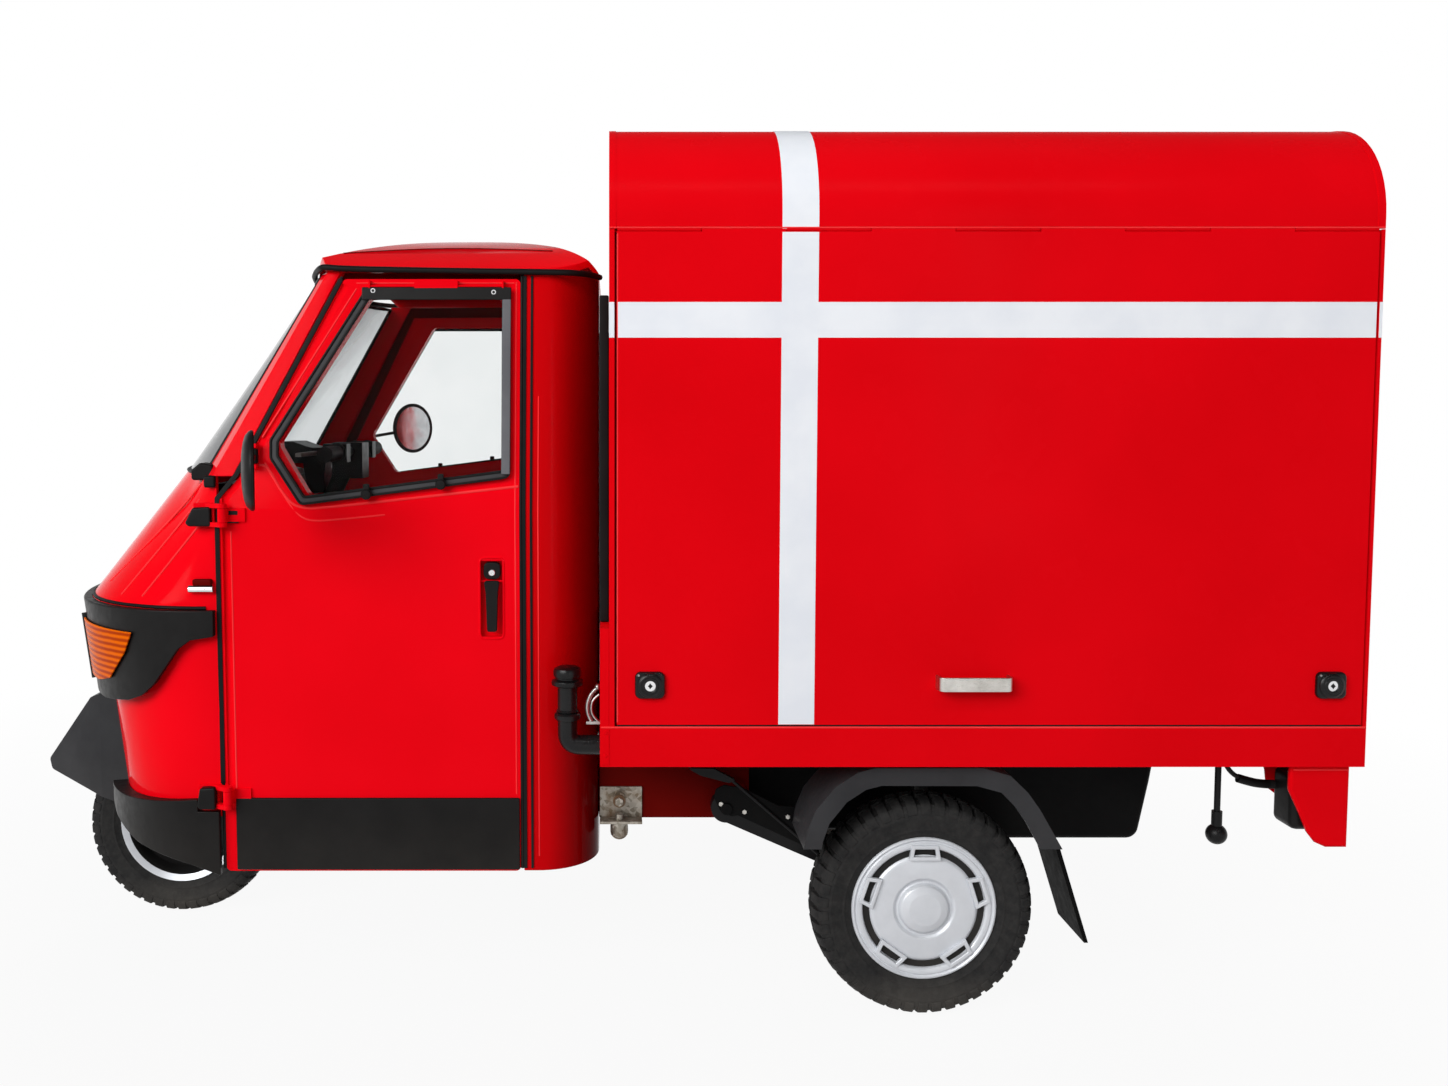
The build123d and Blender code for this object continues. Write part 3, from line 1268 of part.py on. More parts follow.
def counter():
    """Serving counter along the right wall: worktop with a back lip on a hollow cabinet."""
    front, back = counter_front_y, box_half - panel
    x0, x1 = box_front_x + panel + 20.0, box_rear_x - panel - 20.0
    top_z = 1010.0
    sheet = 16.0
    top = block(x0, x1, front - 20, back, top_z - 30, top_z)
    top += block(x0, x1, back - 12, back, top_z, top_z + 60)
    cabinet = block(x0 + 10, x1 - 10, front, back, deck_top_z, top_z - 30)
    middle = (x0 + x1) / 2
    for a, b in ((x0 + 10 + sheet, middle - sheet / 2), (middle + sheet / 2, x1 - 10 - sheet)):
        cabinet -= block(a, b, front - 1, back - sheet, deck_top_z + sheet, top_z - 30 - sheet)
    save("serving_counter", top + cabinet)


# Pieces hung under and behind the box

def snorkel():
    """Air intake pipe that comes out of the deck front, turns up beside the cab and ends in a cap."""
    pipe = tube([(deck_front_x, snorkel_y, snorkel_exit_z), (snorkel_x, snorkel_y, snorkel_exit_z),
                 (snorkel_x, snorkel_y, snorkel_top_z)], snorkel_radius, 38.0)
    cap_low = snorkel_top_z - 20.0
    pipe += rod((snorkel_x, snorkel_y, cap_low), (snorkel_x, snorkel_y, snorkel_top_z), snorkel_radius + 7)
    pipe += rod((snorkel_x, snorkel_y, snorkel_top_z), (snorkel_x, snorkel_y, snorkel_top_z + 8),
                snorkel_radius + 3)
    ring_z = snorkel_exit_z + 40.0
    pipe += rod((snorkel_x, snorkel_y, ring_z), (snorkel_x, snorkel_y, ring_z + 6), snorkel_radius + 3)
    save("snorkel", pipe)


def side_bracket():
    """Galvanised strap on the left beam with its bolt and a rubber-bushed boss below."""
    y = -beam_y - beam_width / 2
    x, top = -19.0, low_beam_z + 66.0
    strap = block(cab_rear_x + 2.0, 27.0, y - 5, y, low_beam_z, top)
    strap += block(cab_rear_x + 2.0, 27.0, y - 40.0, y, low_beam_z, low_beam_z + 5)
    strap += rod((x, y - 12, top - 20), (x, y - 5, top - 20), 11.0)
    boss = rod((x, y - 22, low_beam_z - 32), (x, y - 22, low_beam_z + 16), 9.0)
    boss += rod((x, y - 22, low_beam_z - 26), (x, y - 22, low_beam_z), 17.0)
    save("side_bracket", strap + boss)


def power_unit():
    """Engine with finned barrel and gearbox on the right, fuel tank and air box on the left, under the deck."""
    inner = beam_y - beam_width / 2
    case = block(rear_axle_x + 60, rear_axle_x + 330, 70.0, 250.0, 250.0, 440.0)
    case += block(rear_axle_x - 60, rear_axle_x + 70, 90.0, 220.0, 270.0, 400.0)
    for i in range(7):
        fin_x = rear_axle_x + 336.0 + i * 16.0
        case += block(fin_x, fin_x + 6, 95.0, 225.0, 280.0, 410.0)
    case += rod((rear_axle_x + 320, 160, 345), (rear_axle_x + 450, 160, 345), 46.0)
    for mount_x in (rear_axle_x + 90, rear_axle_x + 270):
        case += block(mount_x, mount_x + 40, 130.0, 190.0, 430.0, deck_top_z - deck_floor_thickness)
    save("engine_unit", case)
    tank_front, tank_rear = rear_axle_x + 60.0, box_rear_x - 261.0
    tank_low, tank_high = 281.0, 470.0
    tank = side_prism([
        (tank_front, tank_low), (tank_rear - 36.0, tank_low), (tank_rear - 12.0, 400.0), (tank_rear, tank_high),
        (tank_front, tank_high),
    ], -inner + 2, -60.0, corner=26.0)
    tank = fillet(tank.faces().filter_by(Axis.Y).edges(), radius=12.0)
    for strap_x in (tank_front + 70.0, tank_rear - 110.0):
        tank += block(strap_x, strap_x + 40, -inner + 40, -110.0, 460.0, deck_top_z - deck_floor_thickness)
    save("fuel_tank", tank)
    case_front, case_rear, case_high = arm_pivot_x + 42.0, rear_axle_x + 30.0, beam_z - 3.0
    air_case = side_prism([
        (case_front, 330.0), (case_front + 60.0, 300.0), (case_rear, 300.0), (case_rear, case_high),
        (case_front, case_high),
    ], -inner + 2, -150.0, corner=22.0)
    air_case = fillet(air_case.faces().filter_by(Axis.Y).edges(), radius=10.0)
    air_case += block(case_rear - 90.0, case_rear - 50.0, -inner + 40, -200.0, case_high - 12.0,
                      deck_top_z - deck_floor_thickness)
    save("air_box", air_case)


tail_y = 560.0
tail_plate = 5.0
tail_lamp_depth = 24.0


def tail_pieces():
    """Lamp brackets and plate holder under the rear sill, tail lamps and their leads."""
    front, rear = box_rear_x - 128.0, box_rear_x - 18.0
    low = 357.0
    half = 52.0
    side_view = [
        (front, skirt_z), (rear, skirt_z), (rear, low), (front + 71.0, low), (front + 51.0, low + 9.0),
        (front + 36.0, low + 28.0), (front + 22.0, low + 61.0), (front, low + 108.0),
    ]
    inner_view = [
        (front - 6.0, skirt_z), (rear, skirt_z), (rear, low + 30.0), (front + 36.0, low + 64.0),
        (front + 10.0, low + 84.0), (front + 6.0, low + 118.0),
    ]
    bracket = side_prism(side_view, -tail_y - half, -tail_y - half + tail_plate)
    bracket += side_prism(inner_view, -tail_y + half - tail_plate, -tail_y + half)
    bracket += block(rear - tail_plate, rear, -tail_y - half, -tail_y + half, low, skirt_z)
    lamp_front, lamp_face = rear - tail_lamp_depth, rear + 3.0
    lamp = block(lamp_front, lamp_face, -tail_y - half + 14, -tail_y + half - 14, low + 22, skirt_z - 22)
    lamp = fillet(lamp.edges().filter_by(Axis.X), radius=14.0)
    lamp_hole = block(lamp_front, lamp_face, -tail_y - half + 14 - seat_gap, -tail_y + half - 14 + seat_gap,
                      low + 22 - seat_gap, skirt_z - 22 + seat_gap)
    bracket -= fillet(lamp_hole.edges().filter_by(Axis.X), radius=14.0 + seat_gap)
    holder_half = 95.0
    holder = block(rear - tail_plate, rear, -holder_half, holder_half, low + 20, skirt_z)
    hole_z = low + 110.0
    for y in (-plate_hole_spacing / 2, plate_hole_spacing / 2):
        holder -= rod((rear - 20, y, hole_z), (rear + 20, y, hole_z), plate_hole_radius)
    save("rear_brackets", bracket, right(bracket), holder)
    save("tail_lamps", lamp, right(lamp))
    lead_x, lead_y = lever_rod_x - 10.0, lever_rod_y - 30.0
    deck_under = deck_top_z - deck_floor_thickness - seat_gap
    route = [
        (lead_x, lead_y, deck_under), (lead_x, lead_y, lead_drop_z + 51.0),
        (lead_x + 24.0, lead_y, lead_drop_z + 14.0), (lead_x + 74.0, lead_y, lead_drop_z - 1.0),
        (lead_x + 127.0, lead_y, lead_drop_z - 3.0), (lamp_front - seat_gap, lead_y, lead_drop_z),
    ]
    lead = tube(route, lead_radius, bends(route))
    boot = rod((lead_x, lead_y, deck_under - 24.0), (lead_x, lead_y, deck_under), lead_radius + 5)
    sleeve_x = front + 4.0
    boot += rod((sleeve_x, lead_y, lead_drop_z - 1.7), (sleeve_x + 34.0, lead_y, lead_drop_z - 3.0), lead_radius + 4)
    save("lamp_leads", lead + boot, right(lead + boot))


def hanging_lever():
    """Release lever with a ball knob, hanging from an eye under the deck."""
    pivot_z = skirt_z + 22.0
    x, y = lever_rod_x, lever_rod_y
    lever = rod((x, y, pivot_z), (x, y, ball_z), lever_rod_radius)
    lever += Pos(x, y, ball_z) * Sphere(ball_radius)
    lever += rod((x, y, ball_z + 14), (x, y, ball_z + 46), lever_rod_radius + 4)
    lever += rod((x, y - 8, pivot_z), (x, y + 8, pivot_z), 11.0)
    lever -= rod((x, y - 20, pivot_z), (x, y + 20, pivot_z), 5.0 + run_fit)
    save("deck_lever", lever)


def lever_eye():
    """Forked eye and pin under the deck that carry the hanging lever."""
    x, y = lever_rod_x, lever_rod_y
    pivot_z = skirt_z + 22.0
    eye = rod((x, y - 17, pivot_z), (x, y + 17, pivot_z), 5.0)
    for y0 in (y - 17, y + 9):
        eye += block(x - 10, x + 10, y0, y0 + 8, pivot_z - 10, deck_top_z - deck_floor_thickness)
    return eye


os.makedirs("parts", exist_ok=True)
rear_wheels()
rear_arms()
fenders()
chassis()
cab_floor()
nose_shell()
lamp_pieces()
front_skirts()
windscreen()
screen_frame()
cab_roof()
cab_rear_wall()
door_hinges()
doors()
steering()
front_guard()
handlebar()
dashboard()
seats()
pedals()
wiper()
deck()
box_shell()
hatch_frame()
hatch()
counter()
snorkel()
side_bracket()
power_unit()
tail_pieces()
hanging_lever()
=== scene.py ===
"""Looks of a three-wheel food van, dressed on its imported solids.

Sizes are in millimetres until they reach a mesh. The front points to -X and the left side to -Y.
"""
import json
import math

import bpy
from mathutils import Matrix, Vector
from mathutils.bvhtree import BVHTree


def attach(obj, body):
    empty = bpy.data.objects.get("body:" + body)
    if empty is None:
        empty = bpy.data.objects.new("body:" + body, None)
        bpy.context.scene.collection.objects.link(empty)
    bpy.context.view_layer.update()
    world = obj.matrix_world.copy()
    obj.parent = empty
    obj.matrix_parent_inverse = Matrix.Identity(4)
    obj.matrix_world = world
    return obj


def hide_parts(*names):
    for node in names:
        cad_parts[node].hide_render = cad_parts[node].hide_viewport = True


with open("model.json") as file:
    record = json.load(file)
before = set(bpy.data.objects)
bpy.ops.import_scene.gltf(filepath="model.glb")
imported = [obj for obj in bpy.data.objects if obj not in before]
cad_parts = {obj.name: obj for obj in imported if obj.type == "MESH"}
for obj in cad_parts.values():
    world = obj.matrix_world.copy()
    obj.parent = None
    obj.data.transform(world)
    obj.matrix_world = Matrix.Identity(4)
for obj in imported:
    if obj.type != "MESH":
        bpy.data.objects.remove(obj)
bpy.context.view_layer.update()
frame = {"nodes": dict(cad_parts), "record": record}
MM = 0.001
node_slot = {row["node"]: row["material_slot"] for row in frame["record"]["subparts"]}
node_body = {node: body for body, nodes in frame["record"]["behaviour"]["bodies"].items() for node in nodes}

# Sizes shared with the solids
waist_z, rail_z = 980.0, 1443.0
waist_half, rail_half, sill_half, sill_z = 508.0, 440.0, 500.0, 270.0
box_front, box_rear, box_half = -39.0, 1358.0, 630.0
hatch_front, hatch_rear, hatch_low, hatch_high = -25.0, 1348.0, 593.0, 1493.0
deck_high, seam_z, shoulder_z, shoulder_radius = 589.0, 1497.0, 1522.0, 185.0
rear_axle, front_axle, axle_z, rear_wheel_y = 567.0, -1039.0, 215.0, 510.0


def side_width(z):
    """Outer half width of the cab at a height."""
    if z <= waist_z:
        return sill_half + (z - sill_z) / (waist_z - sill_z) * (waist_half - sill_half)
    return waist_half + (z - waist_z) / (rail_z - waist_z) * (rail_half - waist_half)


# Handling of meshes

def unselected():
    bpy.ops.object.select_all(action="DESELECT")


def alone(piece):
    unselected()
    piece.select_set(True)
    bpy.context.view_layer.objects.active = piece


def editing(piece):
    alone(piece)
    bpy.ops.object.mode_set(mode="EDIT")
    bpy.ops.mesh.select_all(action="SELECT")


def done():
    bpy.ops.object.mode_set(mode="OBJECT")


def named(name):
    piece = bpy.context.object
    piece.name = name
    piece.data.name = name
    return piece


def settled(name):
    """Name the piece just added and put its place and size into its mesh."""
    bpy.ops.object.transform_apply(location=True, rotation=True, scale=True)
    return named(name)


def shaped(piece, kind, **settings):
    """Give a piece a modifier and apply it."""
    alone(piece)
    change = piece.modifiers.new(kind.lower(), kind)
    for key, value in settings.items():
        setattr(change, key, value)
    bpy.ops.object.modifier_apply(modifier=change.name)
    return piece


def smoothed(piece, angle=38.0):
    alone(piece)
    bpy.ops.object.shade_smooth_by_angle(angle=math.radians(angle))
    return piece


def rounded(piece, width, segments=2, angle=30.0):
    """Round the edges of a piece."""
    shaped(piece, "BEVEL", width=width * MM, segments=segments, limit_method="ANGLE",
           angle_limit=math.radians(angle))
    return smoothed(piece)


def even_faces(piece):
    """Keep flat faces flat beside their rounded edges."""
    return shaped(piece, "WEIGHTED_NORMAL", keep_sharp=True)


def closed_up(piece):
    """Merge doubles and turn every face outwards."""
    editing(piece)
    bpy.ops.mesh.remove_doubles(threshold=0.01 * MM)
    bpy.ops.mesh.normals_make_consistent(inside=False)
    done()
    return piece


def spot(a, b, depth, across):
    """Point of an outline on a plane across one axis."""
    if across == "X":
        return Vector((depth, a, b)) * MM
    if across == "Y":
        return Vector((a, depth, b)) * MM
    return Vector((a, b, depth)) * MM


def sheet_face(name, outline, depth, across):
    unselected()
    bpy.ops.mesh.primitive_circle_add(vertices=len(outline), fill_type="NGON")
    piece = named(name)
    for corner, (a, b) in zip(piece.data.vertices, outline):
        corner.co = spot(a, b, depth, across)
    return piece


def thickened(piece, depth, across):
    editing(piece)
    bpy.ops.mesh.extrude_region_move(TRANSFORM_OT_translate={"value": spot(0, 0, depth, across)})
    bpy.ops.mesh.select_all(action="SELECT")
    bpy.ops.mesh.normals_make_consistent(inside=False)
    done()
    return piece


def plate(name, outline, low, high, across="Y", edge=0.0, segments=2):
    """Flat piece with an outline, from one depth to another."""
    piece = thickened(sheet_face(name, outline, low, across), high - low, across)
    return rounded(piece, edge, segments) if edge else smoothed(piece)


def ring_plate(name, outline, width, low, high, across="Y", edge=0.0):
    """Flat frame that follows an outline at an even width."""
    piece = sheet_face(name, outline, low, across)
    editing(piece)
    bpy.ops.mesh.inset(thickness=width * MM, use_even_offset=True)
    bpy.ops.mesh.delete(type="FACE")
    done()
    thickened(piece, high - low, across)
    return rounded(piece, edge) if edge else smoothed(piece)


def block(name, xs, ys, zs, edge=2.0, segments=2):
    """Bar between two corners with rounded edges."""
    unselected()
    spans = (xs, ys, zs)
    centre = [sum(span) / 2 * MM for span in spans]
    bpy.ops.mesh.primitive_cube_add(size=1.0, location=centre, scale=[abs(b - a) * MM for a, b in spans])
    return rounded(settled(name), edge, segments)


def turned(name, profile, steps=72, solid=False):
    """Turn points of radius and distance about the Y axis; a solid one begins and ends on it."""
    unselected()
    bpy.ops.mesh.primitive_circle_add(vertices=len(profile), fill_type="NOTHING")
    piece = named(name)
    for corner, (radius, along_y) in zip(piece.data.vertices, profile):
        corner.co = Vector((0, along_y, radius)) * MM
    if solid:
        ends = {0, len(profile) - 1}
        alone(piece)
        bpy.ops.object.mode_set(mode="EDIT")
        bpy.ops.mesh.select_mode(type="EDGE")
        done()
        for corner in piece.data.vertices:
            corner.select = corner.index in ends
        for run in piece.data.edges:
            run.select = set(run.vertices) == ends
        bpy.ops.object.mode_set(mode="EDIT")
        bpy.ops.mesh.delete(type="EDGE_FACE")
        bpy.ops.mesh.select_mode(type="VERT")
        done()
    editing(piece)
    bpy.ops.mesh.spin(steps=steps, angle=2 * math.pi, center=(0, 0, 0), axis=(0, 1, 0))
    done()
    return smoothed(closed_up(piece), 32.0)


def around(piece, count):
    """Repeat a piece evenly round the Y axis through the origin."""
    unselected()
    bpy.ops.object.empty_add(location=(0, 0, 0), rotation=(0, 2 * math.pi / count, 0))
    pivot = bpy.context.object
    bpy.context.view_layer.update()
    shaped(piece, "ARRAY", count=count, use_relative_offset=False, use_object_offset=True,
           offset_object=pivot)
    bpy.data.objects.remove(pivot)
    return piece


def upright(piece):
    """Stand a piece that was turned about Y up along Z."""
    for corner in piece.data.vertices:
        x, y, z = corner.co
        corner.co = (x, -z, y)
    return piece


def moved(piece, x, y, z):
    editing(piece)
    bpy.ops.transform.translate(value=(x * MM, y * MM, z * MM))
    done()
    return piece


def copied(piece, name):
    twin = bpy.data.objects.new(name, piece.data.copy())
    twin.data.name = name
    bpy.context.collection.objects.link(twin)
    return twin


def mirrored(piece, name):
    """The same piece on the vehicle's right side."""
    twin = copied(piece, name)
    for corner in twin.data.vertices:
        corner.co.y = -corner.co.y
    editing(twin)
    bpy.ops.mesh.flip_normals()
    done()
    return twin


def joined(name, *pieces):
    alone(pieces[0])
    for piece in pieces[1:]:
        piece.select_set(True)
    bpy.ops.object.join()
    return named(name)


def tube(name, points, radius, bent=True, fineness=2):
    """Round bar, pipe or rubber bead along a line of points; a bent one rounds its corners."""
    line = bpy.data.curves.new(name, "CURVE")
    line.dimensions = "3D"
    run = line.splines.new("NURBS" if bent else "POLY")
    run.points.add(len(points) - 1)
    for knot, place in zip(run.points, points):
        knot.co = (*(value * MM for value in place), 1.0)
    if bent:
        run.order_u = 3
        run.use_endpoint_u = True
        run.resolution_u = 6
    line.bevel_depth = radius * MM
    line.bevel_resolution = fineness
    line.use_fill_caps = True
    piece = bpy.data.objects.new(name, line)
    bpy.context.collection.objects.link(piece)
    alone(piece)
    bpy.ops.object.convert(target="MESH")
    return smoothed(closed_up(named(name)), 50.0)


def rod(name, start, end, radius, sides=20, edge=0.0):
    """Straight round bar between two points."""
    low, high = Vector(start) * MM, Vector(end) * MM
    run = high - low
    unselected()
    turn = run.to_track_quat("Z", "Y").to_euler()
    bpy.ops.mesh.primitive_cylinder_add(vertices=sides, radius=radius * MM, depth=run.length,
                                        location=(low + high) / 2, rotation=turn)
    return rounded(settled(name), edge or min(1.0, radius / 5))


def dressed(piece, body, finish, *nodes, slot=""):
    """Give a piece its finish and its carrier, and hide the solids it stands for; the slot argument is not
    used.
    """
    even_faces(piece)
    piece.data.materials.clear()
    piece.data.materials.append(finish)
    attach(piece, body)
    if nodes:
        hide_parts(*nodes)
    return piece


def both_sides(piece, body, finish, *nodes, slot=""):
    """Dress a left piece and its copy on the right, each named and carried for its side."""
    stem = piece.name
    twin = mirrored(piece, stem + "_right")
    piece.name = piece.data.name = stem + "_left"
    for one, side in ((piece, "_left"), (twin, "_right")):
        carrier = body if body == "vehicle" else body + side
        dressed(one, carrier, finish, *[node + side for node in nodes], slot=slot)


def skin(node):
    """Surface of a solid, for laying pieces on it."""
    mesh = frame["nodes"][node].data
    return BVHTree.FromPolygons([v.co for v in mesh.vertices], [face.vertices for face in mesh.polygons])


def skin_y(surface_tree, x, z):
    """Depth of a left skin at a place seen from the left."""
    place, _, _, _ = surface_tree.ray_cast(Vector((x, -2000, z)) * MM, Vector((0, 1, 0)))
    return place.y / MM if place else -side_width(z)


def leaned(piece, stand=0.0):
    """Lay a flat piece drawn at depth 0 on the cab side."""
    for corner in piece.data.vertices:
        corner.co.y += (-side_width(corner.co.z / MM) - stand) * MM
    return piece


def on_side(line, sunk):
    """Points of a line on the cab's left side, a little below its skin."""
    return [(x, -side_width(z) + sunk, z) for x, z in line]


def band(line, half):
    """Outline of an even strip along a line of points."""
    sides, least_turn = [], 0.4
    for index, here in enumerate(line):
        starts, ends = line[max(index - 1, 0):], line[max(index, 1):index + 2]
        runs = [Vector(b) - Vector(a) for a, b in zip(starts, ends)]
        across = [Vector((-run.y, run.x)).normalized() for run in runs]
        way = sum(across, Vector((0, 0))).normalized()
        way *= half / max(least_turn, way.dot(across[0]))
        sides.append((Vector(here) + way, Vector(here) - way))
    return [tuple(a) for a, _ in sides] + [tuple(b) for _, b in reversed(sides)]


def laid(name, surface_tree, line, radius, sunk):
    """Bead along a line of places on a left skin."""
    return tube(name, [(x, skin_y(surface_tree, x, z) + sunk, z) for x, z in line], radius)


def corner_arcs(points, radius, steps=4):
    """Outline with its corners rounded."""
    curve, most_share = [], 0.45
    for index, here in enumerate(points):
        before = Vector(points[index - 1]) - Vector(here)
        after = Vector(points[(index + 1) % len(points)]) - Vector(here)
        angle = before.angle(after)
        reach = min(radius / math.tan(angle / 2), before.length * most_share, after.length * most_share)
        start = Vector(here) + before.normalized() * reach
        end = Vector(here) + after.normalized() * reach
        for step in range(steps + 1):
            share = step / steps
            mix = start * (1 - share) ** 2 + Vector(here) * 2 * share * (1 - share) + end * share ** 2
            curve.append((mix.x, mix.y))
    return curve


# Finishes, given in screen colours
paint_shine = 0.02
paint_gloss = (0.08, 0.14)
noise_range = (0.3, 0.7)


def tone(red, green, blue):
    """Linear colour of a screen colour."""
    values = [v / 255 for v in (red, green, blue)]
    return (*[v / 12.92 if v <= 0.04045 else ((v + 0.055) / 1.055) ** 2.4 for v in values], 1.0)


def fed(owner, socket, value):
    """Set an input, or link it to another node's output."""
    if isinstance(value, bpy.types.NodeSocket):
        owner.node_tree.links.new(value, socket)
    else:
        socket.default_value = value


def added(owner, kind, inputs=None, **settings):
    """New node in a material or world."""
    node = owner.node_tree.nodes.new("ShaderNode" + kind)
    for key, value in settings.items():
        setattr(node, key, value)
    for key, value in (inputs or {}).items():
        fed(owner, node.inputs[key], value)
    return node


def wired(material, **values):
    """Feed inputs of the main shader, named with _ for a space."""
    shader = material.node_tree.nodes["Principled BSDF"]
    for key, value in values.items():
        fed(material, shader.inputs[key.replace("_", " ")], value)
    return material


def surface(name, **values):
    material = bpy.data.materials.new(name)
    material.use_nodes = True
    return wired(material, **values)


def object_space(material, scale=(1, 1, 1)):
    place = added(material, "TexCoord")
    return added(material, "Mapping", {"Vector": place.outputs["Object"], "Scale": scale}).outputs["Vector"]


def along(owner, axis, space="Object"):
    """Place of a point along one axis."""
    place = added(owner, "TexCoord")
    return added(owner, "SeparateXYZ", {"Vector": place.outputs[space]}).outputs[axis]


def cloud(material, scale, detail=4.0, rough=0.55, stretch=(1, 1, 1)):
    """Soft noise in the object's own space."""
    noise = {"Vector": object_space(material, stretch), "Scale": scale, "Detail": detail, "Roughness": rough}
    return added(material, "TexNoise", noise).outputs["Fac"]


def reckoned(owner, operation, first, second):
    return added(owner, "Math", {0: first, 1: second}, operation=operation).outputs[0]


def mapped(owner, value, source, target):
    """Value brought from one range to another."""
    spread = added(owner, "MapRange", {"Value": value, "From Min": source[0], "From Max": source[1],
                                       "To Min": target[0], "To Max": target[1]})
    return spread.outputs["Result"]


def ranged(material, value, low, high):
    return mapped(material, value, noise_range, (low, high))


def graded(material, value, dark, light, low=0.35, high=0.65):
    ramp = added(material, "ValToRGB", {"Fac": value})
    first, last = ramp.color_ramp.elements
    first.position, first.color = low, tone(*dark)
    last.position, last.color = high, tone(*light)
    return ramp.outputs["Color"]


def blended(material, share, colour, other):
    """Colour with a share of another one in it."""
    return added(material, "Mix", {"Factor": share, 6: colour, 7: tone(*other)}, data_type="RGBA").outputs[2]


def relief(material, value, strength, height):
    bump = added(material, "Bump", {"Height": value, "Strength": strength, "Distance": height * MM})
    return wired(material, Normal=bump.outputs["Normal"])


def dusty(material, colour, dust, top, most):
    """Mix dust into a colour towards the ground."""
    low = mapped(material, along(material, "Z"), (0.0, top * MM), (most, 0.0))
    patches = reckoned(material, "MULTIPLY", low, cloud(material, 14.0, 6.0, 0.65))
    return blended(material, patches, colour, dust)


def sprayed(paint, colour, low, high):
    """Fine peel and uneven gloss of sprayed paint."""
    wired(paint, Base_Color=colour, Roughness=ranged(paint, cloud(paint, 6.0, 5.0), low, high))
    return relief(paint, cloud(paint, 500.0, 1.0), 0.02, 0.1)


def gloss_paint(name, dark, light, low=paint_gloss[0], high=paint_gloss[1]):
    """Sprayed paint with a faint drift of tone, dusty near the ground."""
    paint = surface(name, Specular_IOR_Level=paint_shine)
    colour = graded(paint, cloud(paint, 2.2, 3.0), dark, light)
    return sprayed(paint, dusty(paint, colour, (120, 40, 30), 380.0, 0.2), low, high)


def corner_shade_paint(name):
    """Gloss paint of the cab's rear wall with painted shade: darker round the corners that the box shades."""
    paint = surface(name, Specular_IOR_Level=paint_shine)
    drift = mapped(paint, cloud(paint, 3.0, 3.0), noise_range, (-0.006, 0.006))
    shade = mapped(paint, reckoned(paint, "ADD", along(paint, "X"), drift), (-0.206, -0.07), (0.0, 1.0))
    return sprayed(paint, graded(paint, shade, (200, 3, 10), (112, 2, 3), 0.35, 1.0), *paint_gloss)


def moulded(name, dark, light, rough, grain=900.0, depth=0.25, dust=0.2, shine=0.14):
    """Moulded plastic or rubber with a fine pebbled grain."""
    plastic = surface(name, Specular_IOR_Level=shine)
    colour = graded(plastic, cloud(plastic, 9.0, 5.0), dark, light)
    wired(plastic, Base_Color=dusty(plastic, colour, (120, 112, 102), 420.0, dust),
          Roughness=ranged(plastic, cloud(plastic, 60.0, 4.0), rough - 0.07, rough + 0.07))
    return relief(plastic, cloud(plastic, grain, 2.0, 0.6), 0.35, depth)


def metal(name, dark, light, rough, stretch=(1, 1, 1), grain=300.0, metallic=1.0, depth=0.15):
    """Bare or plated metal, with brush lines where the grain is stretched."""
    bare = surface(name, Metallic=metallic)
    lines = cloud(bare, grain, 3.0, 0.6, stretch)
    wired(bare, Base_Color=graded(bare, cloud(bare, 24.0, 6.0), dark, light),
          Roughness=ranged(bare, lines, rough - 0.06, rough + 0.08))
    return relief(bare, lines, 0.12, depth)


def lens(name, dark, light, see_through, rough=0.08, shine=0.5, bands=45.0):
    """Coloured lamp glass with faint moulded ribs."""
    glass = surface(name, Transmission_Weight=see_through, IOR=1.46, Specular_IOR_Level=shine)
    wave = {"Vector": object_space(glass), "Scale": bands, "Distortion": 0.6, "Detail": 1.0}
    ribs = added(glass, "TexWave", wave, wave_type="BANDS", bands_direction="Z").outputs["Fac"]
    wired(glass, Base_Color=graded(glass, ribs, dark, light, 0.1, 0.9),
          Roughness=ranged(glass, ribs, rough, rough + 0.08))
    return relief(glass, ribs, 0.35, 0.8)


def sheen_painted_glass(name):
    """Curved screen glass: clear seen square on; seen along it, a grey painted sheen stands in for its
    reflection.
    """
    glass = surface(name, IOR=1.12, Specular_IOR_Level=0.3)
    slant = added(glass, "LayerWeight", {"Blend": 0.5}).outputs["Facing"]
    through = mapped(glass, slant, (0.46, 0.72), (0.97, 0.08))
    # Grey mixed into the colour where the screen is seen along it: a painted reflection.
    painted_sheen = graded(glass, cloud(glass, 3.0, 4.0, 0.5, (1, 1, 0.5)), (112, 113, 114), (140, 141, 142))
    return wired(glass, Transmission_Weight=through,
                 Base_Color=blended(glass, through, painted_sheen, (226, 229, 230)),
                 Roughness=ranged(glass, cloud(glass, 18.0, 6.0), 0.02, 0.06))


def pane(name, light, dark, rough):
    """Clear sheet glass with a faint film of dust."""
    glass = surface(name, Transmission_Weight=1.0, IOR=1.12, Specular_IOR_Level=0.5)
    return wired(glass, Base_Color=graded(glass, cloud(glass, 6.0, 5.0), dark, light),
                 Roughness=ranged(glass, cloud(glass, 18.0, 6.0), rough, rough + 0.03))


def spangle(name):
    """Galvanised sheet with crystal patches and a brown stain."""
    zinc = surface(name, Metallic=0.75)
    cells = added(zinc, "TexVoronoi", {"Vector": object_space(zinc), "Scale": 130.0}).outputs["Color"]
    grey = added(zinc, "SeparateColor", {"Color": cells}).outputs["Red"]
    plain = graded(zinc, grey, (112, 104, 92), (168, 162, 152), 0.1, 0.9)
    stain = mapped(zinc, cloud(zinc, 30.0, 5.0), (0.5, 0.72), (0.0, 0.7))
    wired(zinc, Base_Color=blended(zinc, stain, plain, (104, 78, 48)),
          Roughness=ranged(zinc, grey, 0.38, 0.6))
    return relief(zinc, grey, 0.1, 0.3)


